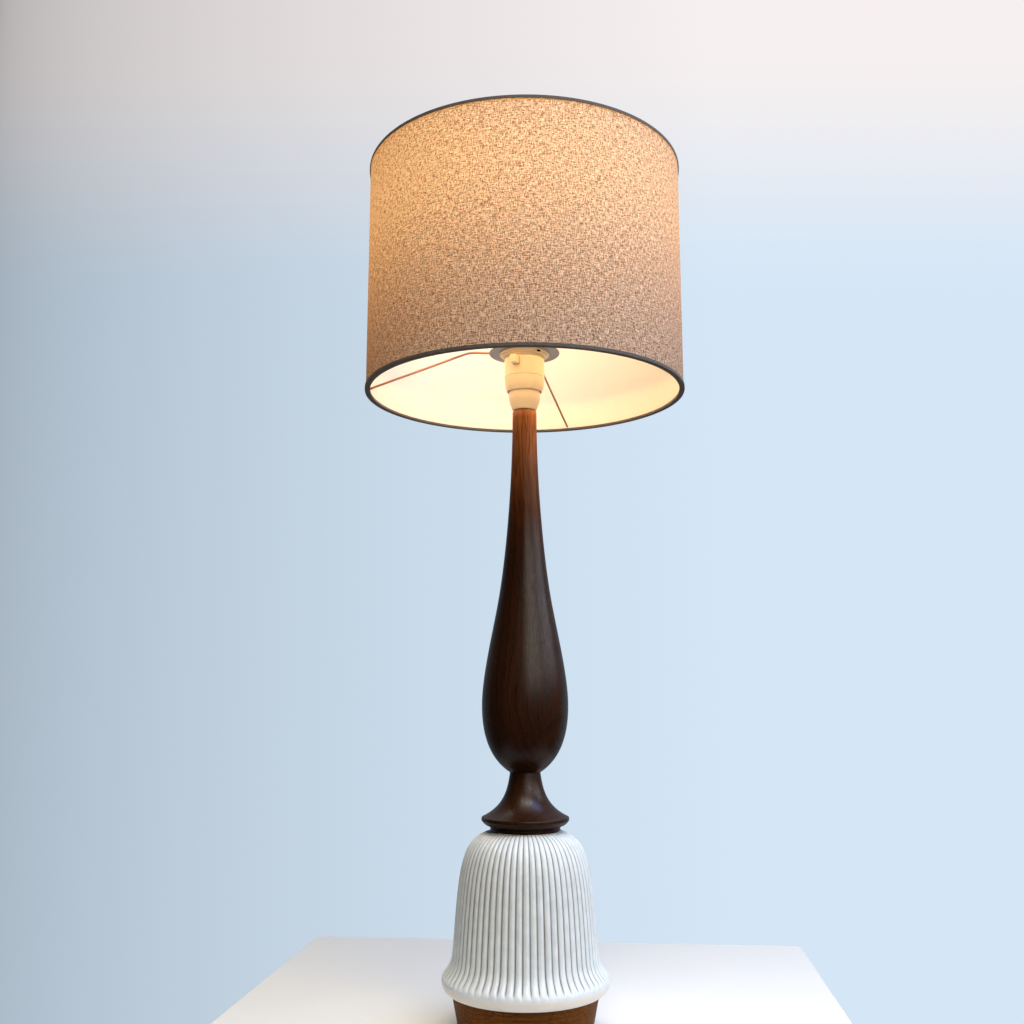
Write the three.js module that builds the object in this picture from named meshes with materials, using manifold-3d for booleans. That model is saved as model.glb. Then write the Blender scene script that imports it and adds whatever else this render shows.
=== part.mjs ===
// Table lamp with a drum shade.
//
// A turned teak stem stands on a fluted ceramic bell and a wooden plinth, all clamped by one threaded
// tube. A bayonet lampholder with a push-bar switch sits on top and carries the drum shade.
// Millimetres, +Z up, the table at z = 0, the front towards -Y.
import * as THREE from 'three';
import { mergeVertices } from 'three/addons/utils/BufferGeometryUtils.js';
import Module from 'manifold-3d';

const wasm = await Module();
wasm.setup();

// ---------------------------------------------------------------- clearances and facets

const seatGap = 0.05; // between faces that rest on each other
const fitGap = 0.3; // around a piece that sits in another
const runGap = 0.35; // around a piece that slides or turns in another
const past = 2; // how far a cutting shape runs past the face that it cuts
const weld = 1; // how far two shapes of one piece run into each other

const shadeSides = 40;
const woodSides = 28;
const holderSides = 20;
const smallSides = 16;
const tinySides = 8;
const wireSides = 5;
const armSteps = 16;
const springSides = 4;
const springSteps = 6; // for each turn

// ---------------------------------------------------------------- plinth and felt

const feltThickness = 1.5;
const feltInset = 1.2;
const plinthHeight = 34.5;
const plinthTopRadius = 64.5;
const plinthTaper = 0.2; // mm of radius lost for each mm down
const plinthEdge = 1.5; // rounding of the bottom and top edges
const plinthRecessRadius = 24;
const plinthRecessDepth = 16;
const registerHeight = 3; // the raised disc that centres the bell

// ---------------------------------------------------------------- cable inlet

const inletHeight = 9.5; // its axis above the plinth's underside
const inletBore = 3.6;
const bushWall = 1.4;
const bushLength = 14;
const bushFlangeRadius = 6.8;
const bushFlangeThickness = 1.8;

// ---------------------------------------------------------------- threaded tube, nut and washer

const tubeRadius = 5;
const tubeBore = 3.8;
const tubeTail = 2; // below the nut
const tubeNose = 12; // above the stem, inside the lampholder
const nutAcrossFlats = 17;
const nutHeight = 5;
const washerRadius = 14;
const washerThickness = 1.5;

// ---------------------------------------------------------------- ceramic bell

const fluteCount = 64;
const fluteDepth = 1.25;
const bellHeight = 133.5;
const bellWall = 5.5;
const bellTopThickness = 7;
const bellFootRadius = 65.5;
const bellLipRadius = 73;
const bellLipHeight = 10;
const bellWaistRadius = 63.6;
const bellWaistHeight = 32;
const bellWaistFlare = 0.9; // how far the wall has opened a third of the way up from the lip
const bellWallLean = 5.1; // how far the wall draws in towards the shoulder
const bellShoulderReach = 26.6; // how far the shoulder bulges past the collar
const bellShoulderDrop = 7.2;
const flankTurn = 0.09; // of a groove's flank towards its floor, in parts of the pitch
const flankDepth = 0.14; // of a groove's flank, in parts of the flute's depth

// ---------------------------------------------------------------- turned stem

const collarRadius = 31.1;
const collarHeight = 4;
const footHeight = 50.3;
const footNeckRadius = 13.6;
const footRidgeRadius = 39;
const footRidgeHeight = 9; // sharp lower edge of the ridge, above the bell
const footRidgeWidth = 2.6;
const footRidgeLean = 0.3; // how much smaller the ridge's upper edge is
const footCoveReach = 1.5; // of the cove under the ridge, inwards
const footCoveDrop = 2.2;
const footFlare = 2.3; // how much the trumpet has opened two fifths of the way down
const footSkirtReach = 6; // of the trumpet's skirt outside the neck
const footSkirtRise = 9; // of the trumpet's skirt above the ridge
const socketDepth = 10;
const spigotRadius = 9;
const spigotLength = 8;

const vaseHeight = 332.6;
const vaseHeelRadius = 14;
const vaseBellyRadius = 39;
const vaseBellyHeight = 59.2;
const vaseHeelFlare = 16.9; // how far the heel runs out under the belly
const vaseBellyReach = 25; // how long the curve stays upright above the belly
const vaseWaistRadius = 24.9;
const vaseWaistHeight = 150.2;
const vaseWaistSlope = 0.182; // mm of radius for each mm of height, where the curve turns
const vaseLowerReach = 30; // how long the curve keeps that slope under the turn
const vaseUpperReach = 41; // and over it
const vaseNeckRadius = 11.4;
const vaseNeckStraight = 8.6; // straight length at the top
const vaseNeckReach = 60; // how long the curve stays upright under that
const vaseChamfer = 0.8;

// ---------------------------------------------------------------- lampholder

const cupMouthRadius = 11.4;
const cupEdge = 0.5;
const cupFlare = 1.8; // how far the cup has opened two fifths of the way to its shoulder
const cupRadius = 14.7;
const cupShoulderHeight = 14;
const cupHeight = 27.3;
const cupWall = 1.8;
const cupFloor = 10;
const cupFloorFillet = 3;
const cupFloorRise = 2;
const grubRadius = 1.4;
const grubHeight = 5;
const grubAzimuth = 90;

const domeSkirtHeight = 17.7; // its open bottom, above the stem
const domeSkirtRadius = 16.7;
const domeWall = 1.1;
const domeFlare = 1.6;
const domeFlareRise = 4;
const domeShoulderRise = 8;
const domeWebThickness = 2;
const domeWebBore = 13.2;
const domeTopRim = 2.2; // above the web

const bodyRadius = 19;
const bodyWall = 1.8;
const bodyHeight = 20.75; // from the seam to the seat flange
const bodyStep = 0.3;
const bodyStepHeight = 16.75;
const flangeRadius = 21.25;
const flangeThickness = 1.5;
const shelfThickness = 2;
const shelfRise = 1; // above the flange's top
const barrelRadius = 14.1;
const barrelBore = 11.25;
const barrelHeight = 20;
const coreTopGap = 0.9;
const coreRadius = 16.8;

const pushBarAzimuth = 245.5; // its proud end, anticlockwise from +X
const pushBarWidth = 6.4;
const pushBarHeight = 7.5;
const pushBarCentre = 12.7; // above the seam between dome and body
const pushBarProud = 8;
const pushBarTravel = 6;
const pushBarWaistWidth = 4.6;
const pushBarWaistHeight = 5;
const pushBarPegDepth = 3.5; // of the peg inside the body wall
const pushBarRounding = 1.6;

const contactOffset = 5.6; // plungers, from the axis
const plungerRadius = 1.5;
const plungerCollarRadius = 1.9;
const plungerCollarHeight = 2.5;
const plungerEdge = 0.5;
const plungerLength = 11;
const springWire = 0.28;
const springRadius = 1.45;
const springTurns = 4;
const wellFloor = 6.9; // above the core's underside
const terminalRadius = 2.1;
const terminalLength = 5;
const terminalOffset = 10.5;
const terminalSink = 2.5; // into the core

// ---------------------------------------------------------------- bulb

const bulbPressTravel = 2;
const slotDepth = 9; // from the barrel's rim to a resting pin's centre
const slotTurn = 18; // degrees from the entry to the rest
const slotAzimuth = 20;
const pinRadius = 1;
const pinReach = 13.3; // tip of a pin from the axis
const pinHeight = 7.2; // above the bulb's contact face
const capRadius = 11;
const capWall = 0.5;
const capCrimp = 0.4; // rounding of the cap's lower edge
const capHeight = 25;
const insulatorThickness = 2;
const padRadius = 2.4;
const padThickness = 0.6;
const bulbRadius = 30;
const bulbLength = 104;
const bulbNeckRadius = 10;
const bulbNeckSunk = 6; // inside the cap
const bulbNeckRise = 2; // above the cap
const bulbNeckReach = 14; // how long the curve stays upright above the neck
const bulbShoulderReach = 24; // and under the widest
const bulbGlass = 1;

// ---------------------------------------------------------------- shade fitting

const reducerRadius = 23.7;
const reducerLip = 1.5;
const reducerSpigotRadius = 20.7;
const reducerSpigotHeight = 1;
const reducerLugAzimuth = 317;
const reducerLugWidth = 4.5;
const reducerLugDrop = 2.2;
const reducerLugHole = 0.6;
const reducerLugInset = 0.2; // inside the ring's rim and top
const carrierRadius = 33.4;
const carrierThickness = 1.2;
const carrierDrop = 41.2; // from the carrier's middle to the shade's bottom rim
const ringFlangeRadius = 24.5;
const ringFlangeThickness = 1.8;
const ringGripRadius = 18.2;
const ringGripHeight = 8;
const ringScallops = 12;
const ringScallopDepth = 0.7;

// ---------------------------------------------------------------- shade

const shadeRadius = 150;
const shadeHeight = 220;
const tapeThickness = 0.5;
const tapeWidth = 2.9; // outside
const tapeHem = 2.2; // inside
const fabricThickness = 0.8;
const linerThickness = 0.7;
const rimWireRadius = 0.9;
const armWireRadius = 1.1;
const armFlat = 19; // level stretch beside the carrier
const armBend = 5;
const armAzimuths = [71, 183, 307];

// ---------------------------------------------------------------- levels worked out from the sizes

const plinthTop = feltThickness + seatGap + plinthHeight;
const bellBase = plinthTop + seatGap;
const stemBase = bellBase + bellHeight + seatGap;
const vaseBase = stemBase + footHeight + seatGap;
const vaseNeckHeight = vaseHeight - vaseNeckStraight;
const stemTop = vaseBase + vaseHeight;
const holderBase = stemTop + seatGap;

// Heights inside the lampholder, above holderBase.
const domeWebHeight = cupHeight + seatGap;
const domeTop = domeWebHeight + domeWebThickness + domeTopRim;
const seam = domeTop + seatGap;
const flangeBase = seam + bodyHeight;
const flangeTop = flangeBase + flangeThickness;
const shelfTop = flangeTop + shelfRise;
const shelfBase = shelfTop - shelfThickness;
const barrelTop = flangeTop + barrelHeight;
const coreBase = domeWebHeight + domeWebThickness + seatGap;
const coreTop = shelfBase - coreTopGap;
const pinRest = barrelTop - slotDepth;
const contactFace = pinRest - pinHeight;
const barCentre = seam + pushBarCentre;
const wellBase = coreBase + wellFloor;
const plungerTip = contactFace - padThickness - seatGap;
const plungerTail = plungerTip - plungerLength;
const cavityRadius = bodyRadius - bodyWall;

const reducerBase = flangeTop + seatGap;
const reducerTop = reducerBase + reducerLip;
const carrierBase = reducerTop + seatGap;
const carrierTop = carrierBase + carrierThickness;
const ringBase = carrierTop + seatGap;
const shadeBase = carrierBase + carrierThickness / 2 - carrierDrop;

const inletRadius = inletBore + bushWall;
const plinthBottomRadius = plinthTopRadius - plinthTaper * plinthHeight;
const tubeHole = tubeRadius + fitGap;
const bellBoreInside = bellFootRadius - bellWall;

// ---------------------------------------------------------------- geometry helpers

// Drops normals and uvs, shares the vertices and removes the triangles that collapse on the axis.
function welded(geometry) {
  const bare = geometry.clone();
  bare.deleteAttribute('normal');
  bare.deleteAttribute('uv');
  const shared = mergeVertices(bare, 1e-4);
  const corners = shared.index.array;
  const kept = [];
  for (let i = 0; i < corners.length; i += 3) {
    const [a, b, c] = [corners[i], corners[i + 1], corners[i + 2]];
    if (a !== b && b !== c && c !== a) kept.push(a, b, c);
  }
  shared.setIndex(kept);
  return shared;
}

function toSolid(geometry) {
  const shared = welded(geometry);
  return new wasm.Manifold(new wasm.Mesh({
    numProp: 3,
    vertProperties: new Float32Array(shared.attributes.position.array),
    triVerts: new Uint32Array(shared.index.array),
  }));
}

function toGeometry(solid) {
  const mesh = solid.getMesh();
  const geometry = new THREE.BufferGeometry();
  geometry.setAttribute('position', new THREE.BufferAttribute(new Float32Array(mesh.vertProperties), 3));
  geometry.setIndex(Array.from(mesh.triVerts));
  return geometry;
}

function cut(geometry, ...tools) {
  return toGeometry(tools.reduce((solid, tool) => solid.subtract(toSolid(tool)), toSolid(geometry)));
}

function join(geometry, ...pieces) {
  return toGeometry(pieces.reduce((solid, piece) => solid.add(toSolid(piece)), toSolid(geometry)));
}

// A solid of revolution about Z from [radius, height] points. The outline runs from axis to axis,
// or closes on itself as a ring.
function turned(outline, sides) {
  const points = outline.map(([radius, height]) => new THREE.Vector2(radius, height));
  if (THREE.ShapeUtils.area(points) < 0) points.reverse();
  const onAxis = points[0].x === 0 && points[points.length - 1].x === 0;
  if (!onAxis) points.push(points[0].clone());
  return welded(new THREE.LatheGeometry(points, sides).rotateX(Math.PI / 2));
}

// A washer, sleeve or flat ring.
function sleeve(inner, outer, bottom, top, sides) {
  return turned([[inner, bottom], [outer, bottom], [outer, top], [inner, top]], sides);
}

function rod(radius, bottom, top, sides) {
  return turned([[0, bottom], [radius, bottom], [radius, top], [0, top]], sides);
}

// Points of a cubic curve after its start, as [radius, height] pairs.
function curve(start, pull, push, end, steps) {
  const [a, b, c, d] = [start, pull, push, end].map(([radius, height]) => new THREE.Vector2(radius, height));
  const points = new THREE.CubicBezierCurve(a, b, c, d).getPoints(steps);
  return points.slice(1).map((point) => [point.x, point.y]);
}

function extruded(shape, bottom, height, curveSegments = 4) {
  const options = { depth: height, bevelEnabled: false, curveSegments };
  return new THREE.ExtrudeGeometry(shape, options).translate(0, 0, bottom);
}

// A block between two corners.
function block(low, high) {
  const size = high.map((value, i) => value - low[i]);
  const middle = high.map((value, i) => (value + low[i]) / 2);
  return new THREE.BoxGeometry(...size).translate(...middle);
}

// The same piece turned about Z by an angle in degrees.
function atAzimuth(geometry, azimuth) {
  return geometry.clone().rotateZ(THREE.MathUtils.degToRad(azimuth));
}

function material(color, roughness, metalness = 0) {
  return new THREE.MeshStandardMaterial({ color, roughness, metalness });
}

function piece(name, geometry, surface) {
  const mesh = new THREE.Mesh(geometry, surface);
  mesh.name = name;
  return mesh;
}

function group(height, ...pieces) {
  const members = new THREE.Group();
  members.position.z = height;
  members.add(...pieces);
  return members;
}

// ---------------------------------------------------------------- plinth, felt and inlet

function feltGeometry() {
  return rod(plinthBottomRadius - feltInset, 0, feltThickness, woodSides);
}

// The spot face that the bush's flange lies in: its plane, measured from the lamp's axis.
const spotRadius = bushFlangeRadius + fitGap;
const spotLowRadius = plinthBottomRadius + plinthTaper * (inletHeight - spotRadius);
const spotPlane = Math.sqrt(spotLowRadius ** 2 - spotRadius ** 2) - 2 * seatGap;

function plinthGeometry() {
  const shoulder = bellBoreInside - fitGap;
  const body = turned([
    [plinthRecessRadius, 0],
    [plinthBottomRadius - plinthEdge, 0],
    [plinthBottomRadius - 0.3 * plinthEdge, 0.3 * plinthEdge],
    [plinthBottomRadius + plinthTaper * plinthEdge, plinthEdge],
    [plinthTopRadius - plinthTaper * plinthEdge, plinthHeight - plinthEdge],
    [plinthTopRadius - 0.3 * plinthEdge, plinthHeight - 0.3 * plinthEdge],
    [plinthTopRadius - plinthEdge, plinthHeight],
    [shoulder, plinthHeight],
    [shoulder, plinthHeight + registerHeight],
    [tubeHole, plinthHeight + registerHeight],
    [tubeHole, plinthRecessDepth],
    [plinthRecessRadius, plinthRecessDepth],
  ], woodSides);
  const inlet = rod(inletRadius + fitGap, plinthRecessRadius - past, plinthTopRadius + past, smallSides);
  const spotFace = rod(spotRadius, spotPlane, plinthTopRadius + past, smallSides);
  const tools = [inlet, spotFace].map((tool) => tool.rotateX(-Math.PI / 2).translate(0, 0, inletHeight));
  return cut(body, ...tools);
}

function bushGeometry() {
  return turned([
    [inletBore, -bushLength],
    [inletRadius, -bushLength],
    [inletRadius, 0],
    [bushFlangeRadius, 0],
    [bushFlangeRadius, 0.6 * bushFlangeThickness],
    [bushFlangeRadius - 0.5 * bushFlangeThickness, bushFlangeThickness],
    [inletBore + 0.5 * bushWall, bushFlangeThickness],
    [inletBore, 0.7 * bushFlangeThickness],
  ], smallSides);
}

// ---------------------------------------------------------------- tube, washer and nut

const washerBase = plinthRecessDepth - seatGap - washerThickness;
const nutBase = washerBase - seatGap - nutHeight;

function nutGeometry() {
  const corner = nutAcrossFlats / Math.sqrt(3);
  const hexagon = new THREE.Shape();
  for (let i = 0; i < 6; i += 1) {
    const angle = (i * Math.PI) / 3;
    const [x, y] = [corner * Math.cos(angle), corner * Math.sin(angle)];
    if (i === 0) hexagon.moveTo(x, y);
    else hexagon.lineTo(x, y);
  }
  hexagon.closePath();
  hexagon.holes.push(new THREE.Path().absarc(0, 0, tubeHole, 0, 2 * Math.PI, true));
  return extruded(hexagon, nutBase, nutHeight, tinySides);
}

// ---------------------------------------------------------------- ceramic bell

function bellOutline() {
  const foot = [bellFootRadius, 0];
  const lip = [bellLipRadius, bellLipHeight];
  const waist = [bellWaistRadius, bellWaistHeight];
  const wallHeight = bellHeight - bellWaistHeight;
  const flareHeight = bellWaistHeight - bellLipHeight;
  const edge = [collarRadius, bellHeight];
  return [
    [0, 0],
    foot,
    ...curve(
      foot,
      [0.4 * bellFootRadius + 0.6 * bellLipRadius, 0],
      [bellLipRadius, 0.45 * bellLipHeight],
      lip,
      2,
    ),
    ...curve(
      lip,
      [bellLipRadius, bellLipHeight + 0.28 * flareHeight],
      [bellWaistRadius + bellWaistFlare, bellLipHeight + 0.32 * flareHeight],
      waist,
      3,
    ),
    ...curve(
      waist,
      [bellWaistRadius - bellWallLean, bellWaistHeight + 0.715 * wallHeight],
      [collarRadius + bellShoulderReach, bellHeight - bellShoulderDrop],
      edge,
      4,
    ),
    [0, bellHeight],
  ];
}

// Draws the turned bell in along each groove. Four facets make one rib: the groove's floor, two
// flanks beside it and the rounded crest. Grooves fade out under the lip and get finer at the top.
function fluted(geometry) {
  const pitch = (2 * Math.PI) / fluteCount;
  const position = geometry.attributes.position;
  for (let i = 0; i < position.count; i += 1) {
    const [x, y, z] = [position.getX(i), position.getY(i), position.getZ(i)];
    const radius = Math.hypot(x, y);
    if (radius < 0.5 * collarRadius || z < 0.5 * bellLipHeight) continue;
    const share = Math.round((4 * Math.atan2(y, x)) / pitch) / 4;
    const step = ((Math.round(4 * share) % 4) + 4) % 4;
    const angle = (share + 0.5 + [0, -flankTurn, 0, flankTurn][step]) * pitch;
    const depth = [0, flankDepth, 1, flankDepth][step] * fluteDepth * Math.min(1, radius / bellWaistRadius);
    position.setXYZ(i, (radius - depth) * Math.cos(angle), (radius - depth) * Math.sin(angle), z);
  }
  return geometry;
}

function bellGeometry() {
  const inside = bellTopThickness;
  const waist = [bellWaistRadius - bellWall - fluteDepth, bellWaistHeight];
  const wallHeight = bellHeight - bellWaistHeight - inside;
  const cavity = turned([
    [0, -past],
    [bellBoreInside, -past],
    [bellBoreInside, bellLipHeight],
    waist,
    ...curve(
      waist,
      [waist[0] - bellWallLean, bellWaistHeight + 0.6 * wallHeight],
      [waist[0] - bellWallLean, bellHeight - inside - bellShoulderDrop],
      [collarRadius, bellHeight - inside],
      5,
    ),
    [0, bellHeight - inside],
  ], woodSides);
  const bore = rod(tubeHole, 0, bellHeight + past, smallSides);
  return cut(fluted(turned(bellOutline(), 4 * fluteCount)), cavity, bore);
}

// ---------------------------------------------------------------- turned stem

function footGeometry() {
  const ridgeTop = [footRidgeRadius - footRidgeLean, footRidgeHeight + footRidgeWidth];
  const neck = [footNeckRadius, footHeight];
  const socket = spigotRadius + fitGap;
  return turned([
    [tubeHole, 0],
    [collarRadius, 0],
    [collarRadius, collarHeight],
    ...curve(
      [collarRadius, collarHeight],
      [collarRadius + 0.5 * (footRidgeRadius - collarRadius), collarHeight],
      [footRidgeRadius - footCoveReach, footRidgeHeight - footCoveDrop],
      [footRidgeRadius, footRidgeHeight],
      3,
    ),
    ridgeTop,
    ...curve(
      ridgeTop,
      [footNeckRadius + footSkirtReach, footRidgeHeight + footRidgeWidth + footSkirtRise],
      [footNeckRadius + footFlare, footHeight - 0.4 * (footHeight - footRidgeHeight)],
      neck,
      7,
    ),
    [socket, footHeight],
    [socket, footHeight - socketDepth],
    [tubeHole, footHeight - socketDepth],
  ], woodSides);
}

function vaseGeometry() {
  const belly = [vaseBellyRadius, vaseBellyHeight];
  const waist = [vaseWaistRadius, vaseWaistHeight];
  const neck = [vaseNeckRadius, vaseNeckHeight];
  const heel = [vaseHeelRadius, 0];
  return turned([
    [tubeHole, -spigotLength],
    [spigotRadius, -spigotLength],
    [spigotRadius, 0],
    heel,
    ...curve(
      heel,
      [vaseHeelRadius + vaseHeelFlare, 0.19 * vaseBellyHeight],
      [vaseBellyRadius, 0.515 * vaseBellyHeight],
      belly,
      6,
    ),
    ...curve(
      belly,
      [vaseBellyRadius, vaseBellyHeight + vaseBellyReach],
      [vaseWaistRadius + vaseLowerReach * vaseWaistSlope, vaseWaistHeight - vaseLowerReach],
      waist,
      5,
    ),
    ...curve(
      waist,
      [vaseWaistRadius - vaseUpperReach * vaseWaistSlope, vaseWaistHeight + vaseUpperReach],
      [vaseNeckRadius, vaseNeckHeight - vaseNeckReach],
      neck,
      4,
    ),
    [vaseNeckRadius, vaseHeight - vaseChamfer],
    [vaseNeckRadius - vaseChamfer, vaseHeight],
    [tubeHole, vaseHeight],
  ], woodSides);
}

// ---------------------------------------------------------------- lampholder, fixed pieces

function holderCupGeometry() {
  const shoulder = [cupRadius, cupShoulderHeight];
  const cup = turned([
    [tubeHole, 0],
    [cupMouthRadius - cupEdge, 0],
    [cupMouthRadius, cupEdge],
    ...curve(
      [cupMouthRadius, cupEdge],
      [cupMouthRadius + cupFlare, 0.4 * cupShoulderHeight],
      [cupRadius, 0.65 * cupShoulderHeight],
      shoulder,
      4,
    ),
    [cupRadius, cupHeight],
    [cupRadius - cupWall, cupHeight],
    [cupRadius - cupWall, cupFloor + cupFloorRise],
    [cupRadius - cupWall - cupFloorFillet, cupFloor],
    [tubeHole, cupFloor],
  ], holderSides);
  const hole = rod(grubRadius + fitGap, 0, cupRadius + past, tinySides);
  return cut(cup, atAzimuth(hole.rotateY(Math.PI / 2).translate(0, 0, grubHeight), grubAzimuth));
}

function holderDomeGeometry() {
  const inner = domeSkirtRadius - domeWall;
  const upper = bodyRadius - bodyWall;
  return turned([
    [inner, domeSkirtHeight],
    [domeSkirtRadius, domeSkirtHeight],
    ...curve(
      [domeSkirtRadius, domeSkirtHeight],
      [domeSkirtRadius + domeFlare, domeSkirtHeight + domeFlareRise],
      [bodyRadius, domeSkirtHeight + domeShoulderRise],
      [bodyRadius, domeTop],
      5,
    ),
    [upper, domeTop],
    [upper, domeWebHeight + domeWebThickness],
    [domeWebBore, domeWebHeight + domeWebThickness],
    [domeWebBore, domeWebHeight],
    [inner, domeWebHeight],
  ], holderSides);
}

// A window for one end of the push bar, with the rounded upper corners of the peg in it.
function pegBlock(start, end, clearance) {
  const halfWidth = pushBarWidth / 2 + clearance;
  const low = -pushBarHeight / 2 - clearance;
  const high = pushBarHeight / 2 + clearance;
  const outline = new THREE.Shape();
  outline.moveTo(-halfWidth, low);
  outline.lineTo(halfWidth, low);
  outline.lineTo(halfWidth, high - pushBarRounding);
  outline.quadraticCurveTo(halfWidth, high, halfWidth - pushBarRounding, high);
  outline.lineTo(-halfWidth + pushBarRounding, high);
  outline.quadraticCurveTo(-halfWidth, high, -halfWidth, high - pushBarRounding);
  outline.closePath();
  const peg = extruded(outline, start, end - start, 3);
  return peg.rotateX(Math.PI / 2).rotateZ(Math.PI / 2).translate(0, 0, barCentre);
}

// The L-shaped way that a bulb's pin takes: down, round by slotTurn, and up into its rest.
function bayonetSlot(azimuth) {
  const halfWidth = pinRadius + runGap;
  const low = pinRest - bulbPressTravel - halfWidth;
  const radial = [barrelBore - past, barrelRadius + past];
  const tool = (top) => block([radial[0], -halfWidth, low], [radial[1], halfWidth, top]);
  const steps = Math.ceil(slotTurn / 6);
  const way = [atAzimuth(tool(barrelTop + past), azimuth)];
  for (let i = 1; i < steps; i += 1) {
    const turn = (slotTurn * i) / steps;
    way.push(atAzimuth(tool(low + 2 * halfWidth), azimuth + turn));
  }
  way.push(atAzimuth(tool(pinRest + halfWidth), azimuth + slotTurn));
  return way;
}

function holderBodyGeometry() {
  const stepBase = seam + bodyStepHeight;
  const body = turned([
    [0, shelfBase],
    [cavityRadius, shelfBase],
    [cavityRadius, seam],
    [bodyRadius, seam],
    [bodyRadius, stepBase],
    [bodyRadius - bodyStep, stepBase + bodyStep],
    [bodyRadius - bodyStep, flangeBase],
    [flangeRadius, flangeBase],
    [flangeRadius, flangeTop],
    [barrelRadius, flangeTop],
    [barrelRadius, barrelTop],
    [barrelBore, barrelTop],
    [barrelBore, shelfTop],
    [0, shelfTop],
  ], holderSides);
  const reach = bodyRadius + past;
  const window = atAzimuth(pegBlock(-reach, reach, runGap), pushBarAzimuth);
  const holes = contactAngles().map((azimuth) => (
    atAzimuth(rod(plungerRadius + runGap, shelfBase - past, shelfTop + past, tinySides)
      .translate(contactOffset, 0, 0), azimuth)
  ));
  const slots = [slotAzimuth, slotAzimuth + 180].flatMap(bayonetSlot);
  return cut(body, window, ...holes, ...slots);
}

// The two contacts stand across the push bar.
function contactAngles() {
  return [pushBarAzimuth + 90, pushBarAzimuth - 90];
}

// The moulded block inside the body: wells for the plungers, a channel for the push bar and
// sockets for the terminals.
function holderCoreGeometry() {
  const core = rod(coreRadius, coreBase, coreTop, holderSides);
  const halfWidth = pushBarWaistWidth / 2 + runGap;
  const halfHeight = pushBarHeight / 2 + runGap;
  const low = barCentre - halfHeight;
  const high = barCentre + halfHeight;
  const pegInner = bodyRadius - pushBarPegDepth - pushBarTravel - runGap;
  const wide = pushBarWidth / 2 + runGap;
  const channel = [
    block([-coreRadius - past, -halfWidth, low], [coreRadius + past, halfWidth, high]),
    block([pegInner, -wide, low], [coreRadius + past, wide, high]),
    block([-coreRadius - past, -wide, low], [-pegInner, wide, high]),
  ];
  const well = rod(plungerCollarRadius + runGap, wellBase, coreTop + past, tinySides);
  const socket = rod(terminalRadius + fitGap, coreBase - past, coreBase + terminalSink, tinySides);
  const wells = contactAngles().map((azimuth) => (
    atAzimuth(well.clone().translate(contactOffset, 0, 0), azimuth)
  ));
  const sockets = contactAngles().map((azimuth) => (
    atAzimuth(socket.clone().translate(terminalOffset, 0, 0), azimuth)
  ));
  const tools = channel.map((tool) => atAzimuth(tool, pushBarAzimuth));
  return cut(core, ...tools, ...wells, ...sockets);
}

function terminalGeometry() {
  const top = coreBase + terminalSink - seatGap;
  return rod(terminalRadius, top - terminalLength, top, tinySides);
}

// ---------------------------------------------------------------- lampholder, moving pieces

function pushBarGeometry() {
  const pegInner = bodyRadius - pushBarPegDepth;
  const near = pegBlock(pegInner, bodyRadius + pushBarProud, 0);
  const far = pegBlock(-bodyRadius, -pegInner, 0);
  const halfHeight = pushBarWaistHeight / 2;
  const waist = block(
    [-pegInner - weld, -pushBarWaistWidth / 2, barCentre - halfHeight],
    [pegInner + weld, pushBarWaistWidth / 2, barCentre + halfHeight],
  );
  return join(waist, near, far);
}

function plungerGeometry() {
  const collarTop = plungerTail + plungerCollarHeight;
  return turned([
    [0, plungerTail],
    [plungerCollarRadius, plungerTail],
    [plungerCollarRadius, collarTop],
    [plungerRadius, collarTop],
    [plungerRadius, plungerTip - plungerEdge],
    [plungerRadius - plungerEdge, plungerTip],
    [0, plungerTip],
  ], tinySides);
}

class Helix extends THREE.Curve {
  constructor(radius, bottom, top, turns) {
    super();
    Object.assign(this, { radius, bottom, top, turns });
  }

  getPoint(share, target = new THREE.Vector3()) {
    const angle = 2 * Math.PI * this.turns * share;
    const height = THREE.MathUtils.lerp(this.bottom, this.top, share);
    return target.set(this.radius * Math.cos(angle), this.radius * Math.sin(angle), height);
  }
}

function wire(radius, path, steps, sides = wireSides) {
  const section = new THREE.Shape();
  for (let i = 0; i < sides; i += 1) {
    const angle = (2 * Math.PI * i) / sides;
    const [x, y] = [radius * Math.cos(angle), radius * Math.sin(angle)];
    if (i === 0) section.moveTo(x, y);
    else section.lineTo(x, y);
  }
  section.closePath();
  return new THREE.ExtrudeGeometry(section, { steps, bevelEnabled: false, extrudePath: path });
}

function springGeometry() {
  const inset = springWire + fitGap;
  const path = new Helix(springRadius, wellBase + inset, plungerTail - inset, springTurns);
  return wire(springWire, path, springSteps * springTurns, springSides);
}

function shadeRingGeometry() {
  const bore = barrelRadius + runGap;
  const gripBase = ringBase + ringFlangeThickness;
  const flange = turned([
    [bore, ringBase],
    [ringFlangeRadius, ringBase],
    [ringFlangeRadius, ringBase + 0.6 * ringFlangeThickness],
    [ringFlangeRadius - 0.5 * ringFlangeThickness, gripBase],
    [bore, gripBase],
  ], holderSides);
  const outline = new THREE.Shape();
  const count = 4 * ringScallops;
  for (let i = 0; i < count; i += 1) {
    const angle = (2 * Math.PI * i) / count;
    const radius = ringGripRadius - ringScallopDepth * 0.5 * (1 - Math.cos(angle * ringScallops));
    const [x, y] = [radius * Math.cos(angle), radius * Math.sin(angle)];
    if (i === 0) outline.moveTo(x, y);
    else outline.lineTo(x, y);
  }
  outline.closePath();
  outline.holes.push(new THREE.Path().absarc(0, 0, bore, 0, 2 * Math.PI, true));
  return join(flange, extruded(outline, gripBase - weld, ringGripHeight + weld, holderSides));
}

// ---------------------------------------------------------------- bulb

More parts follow.
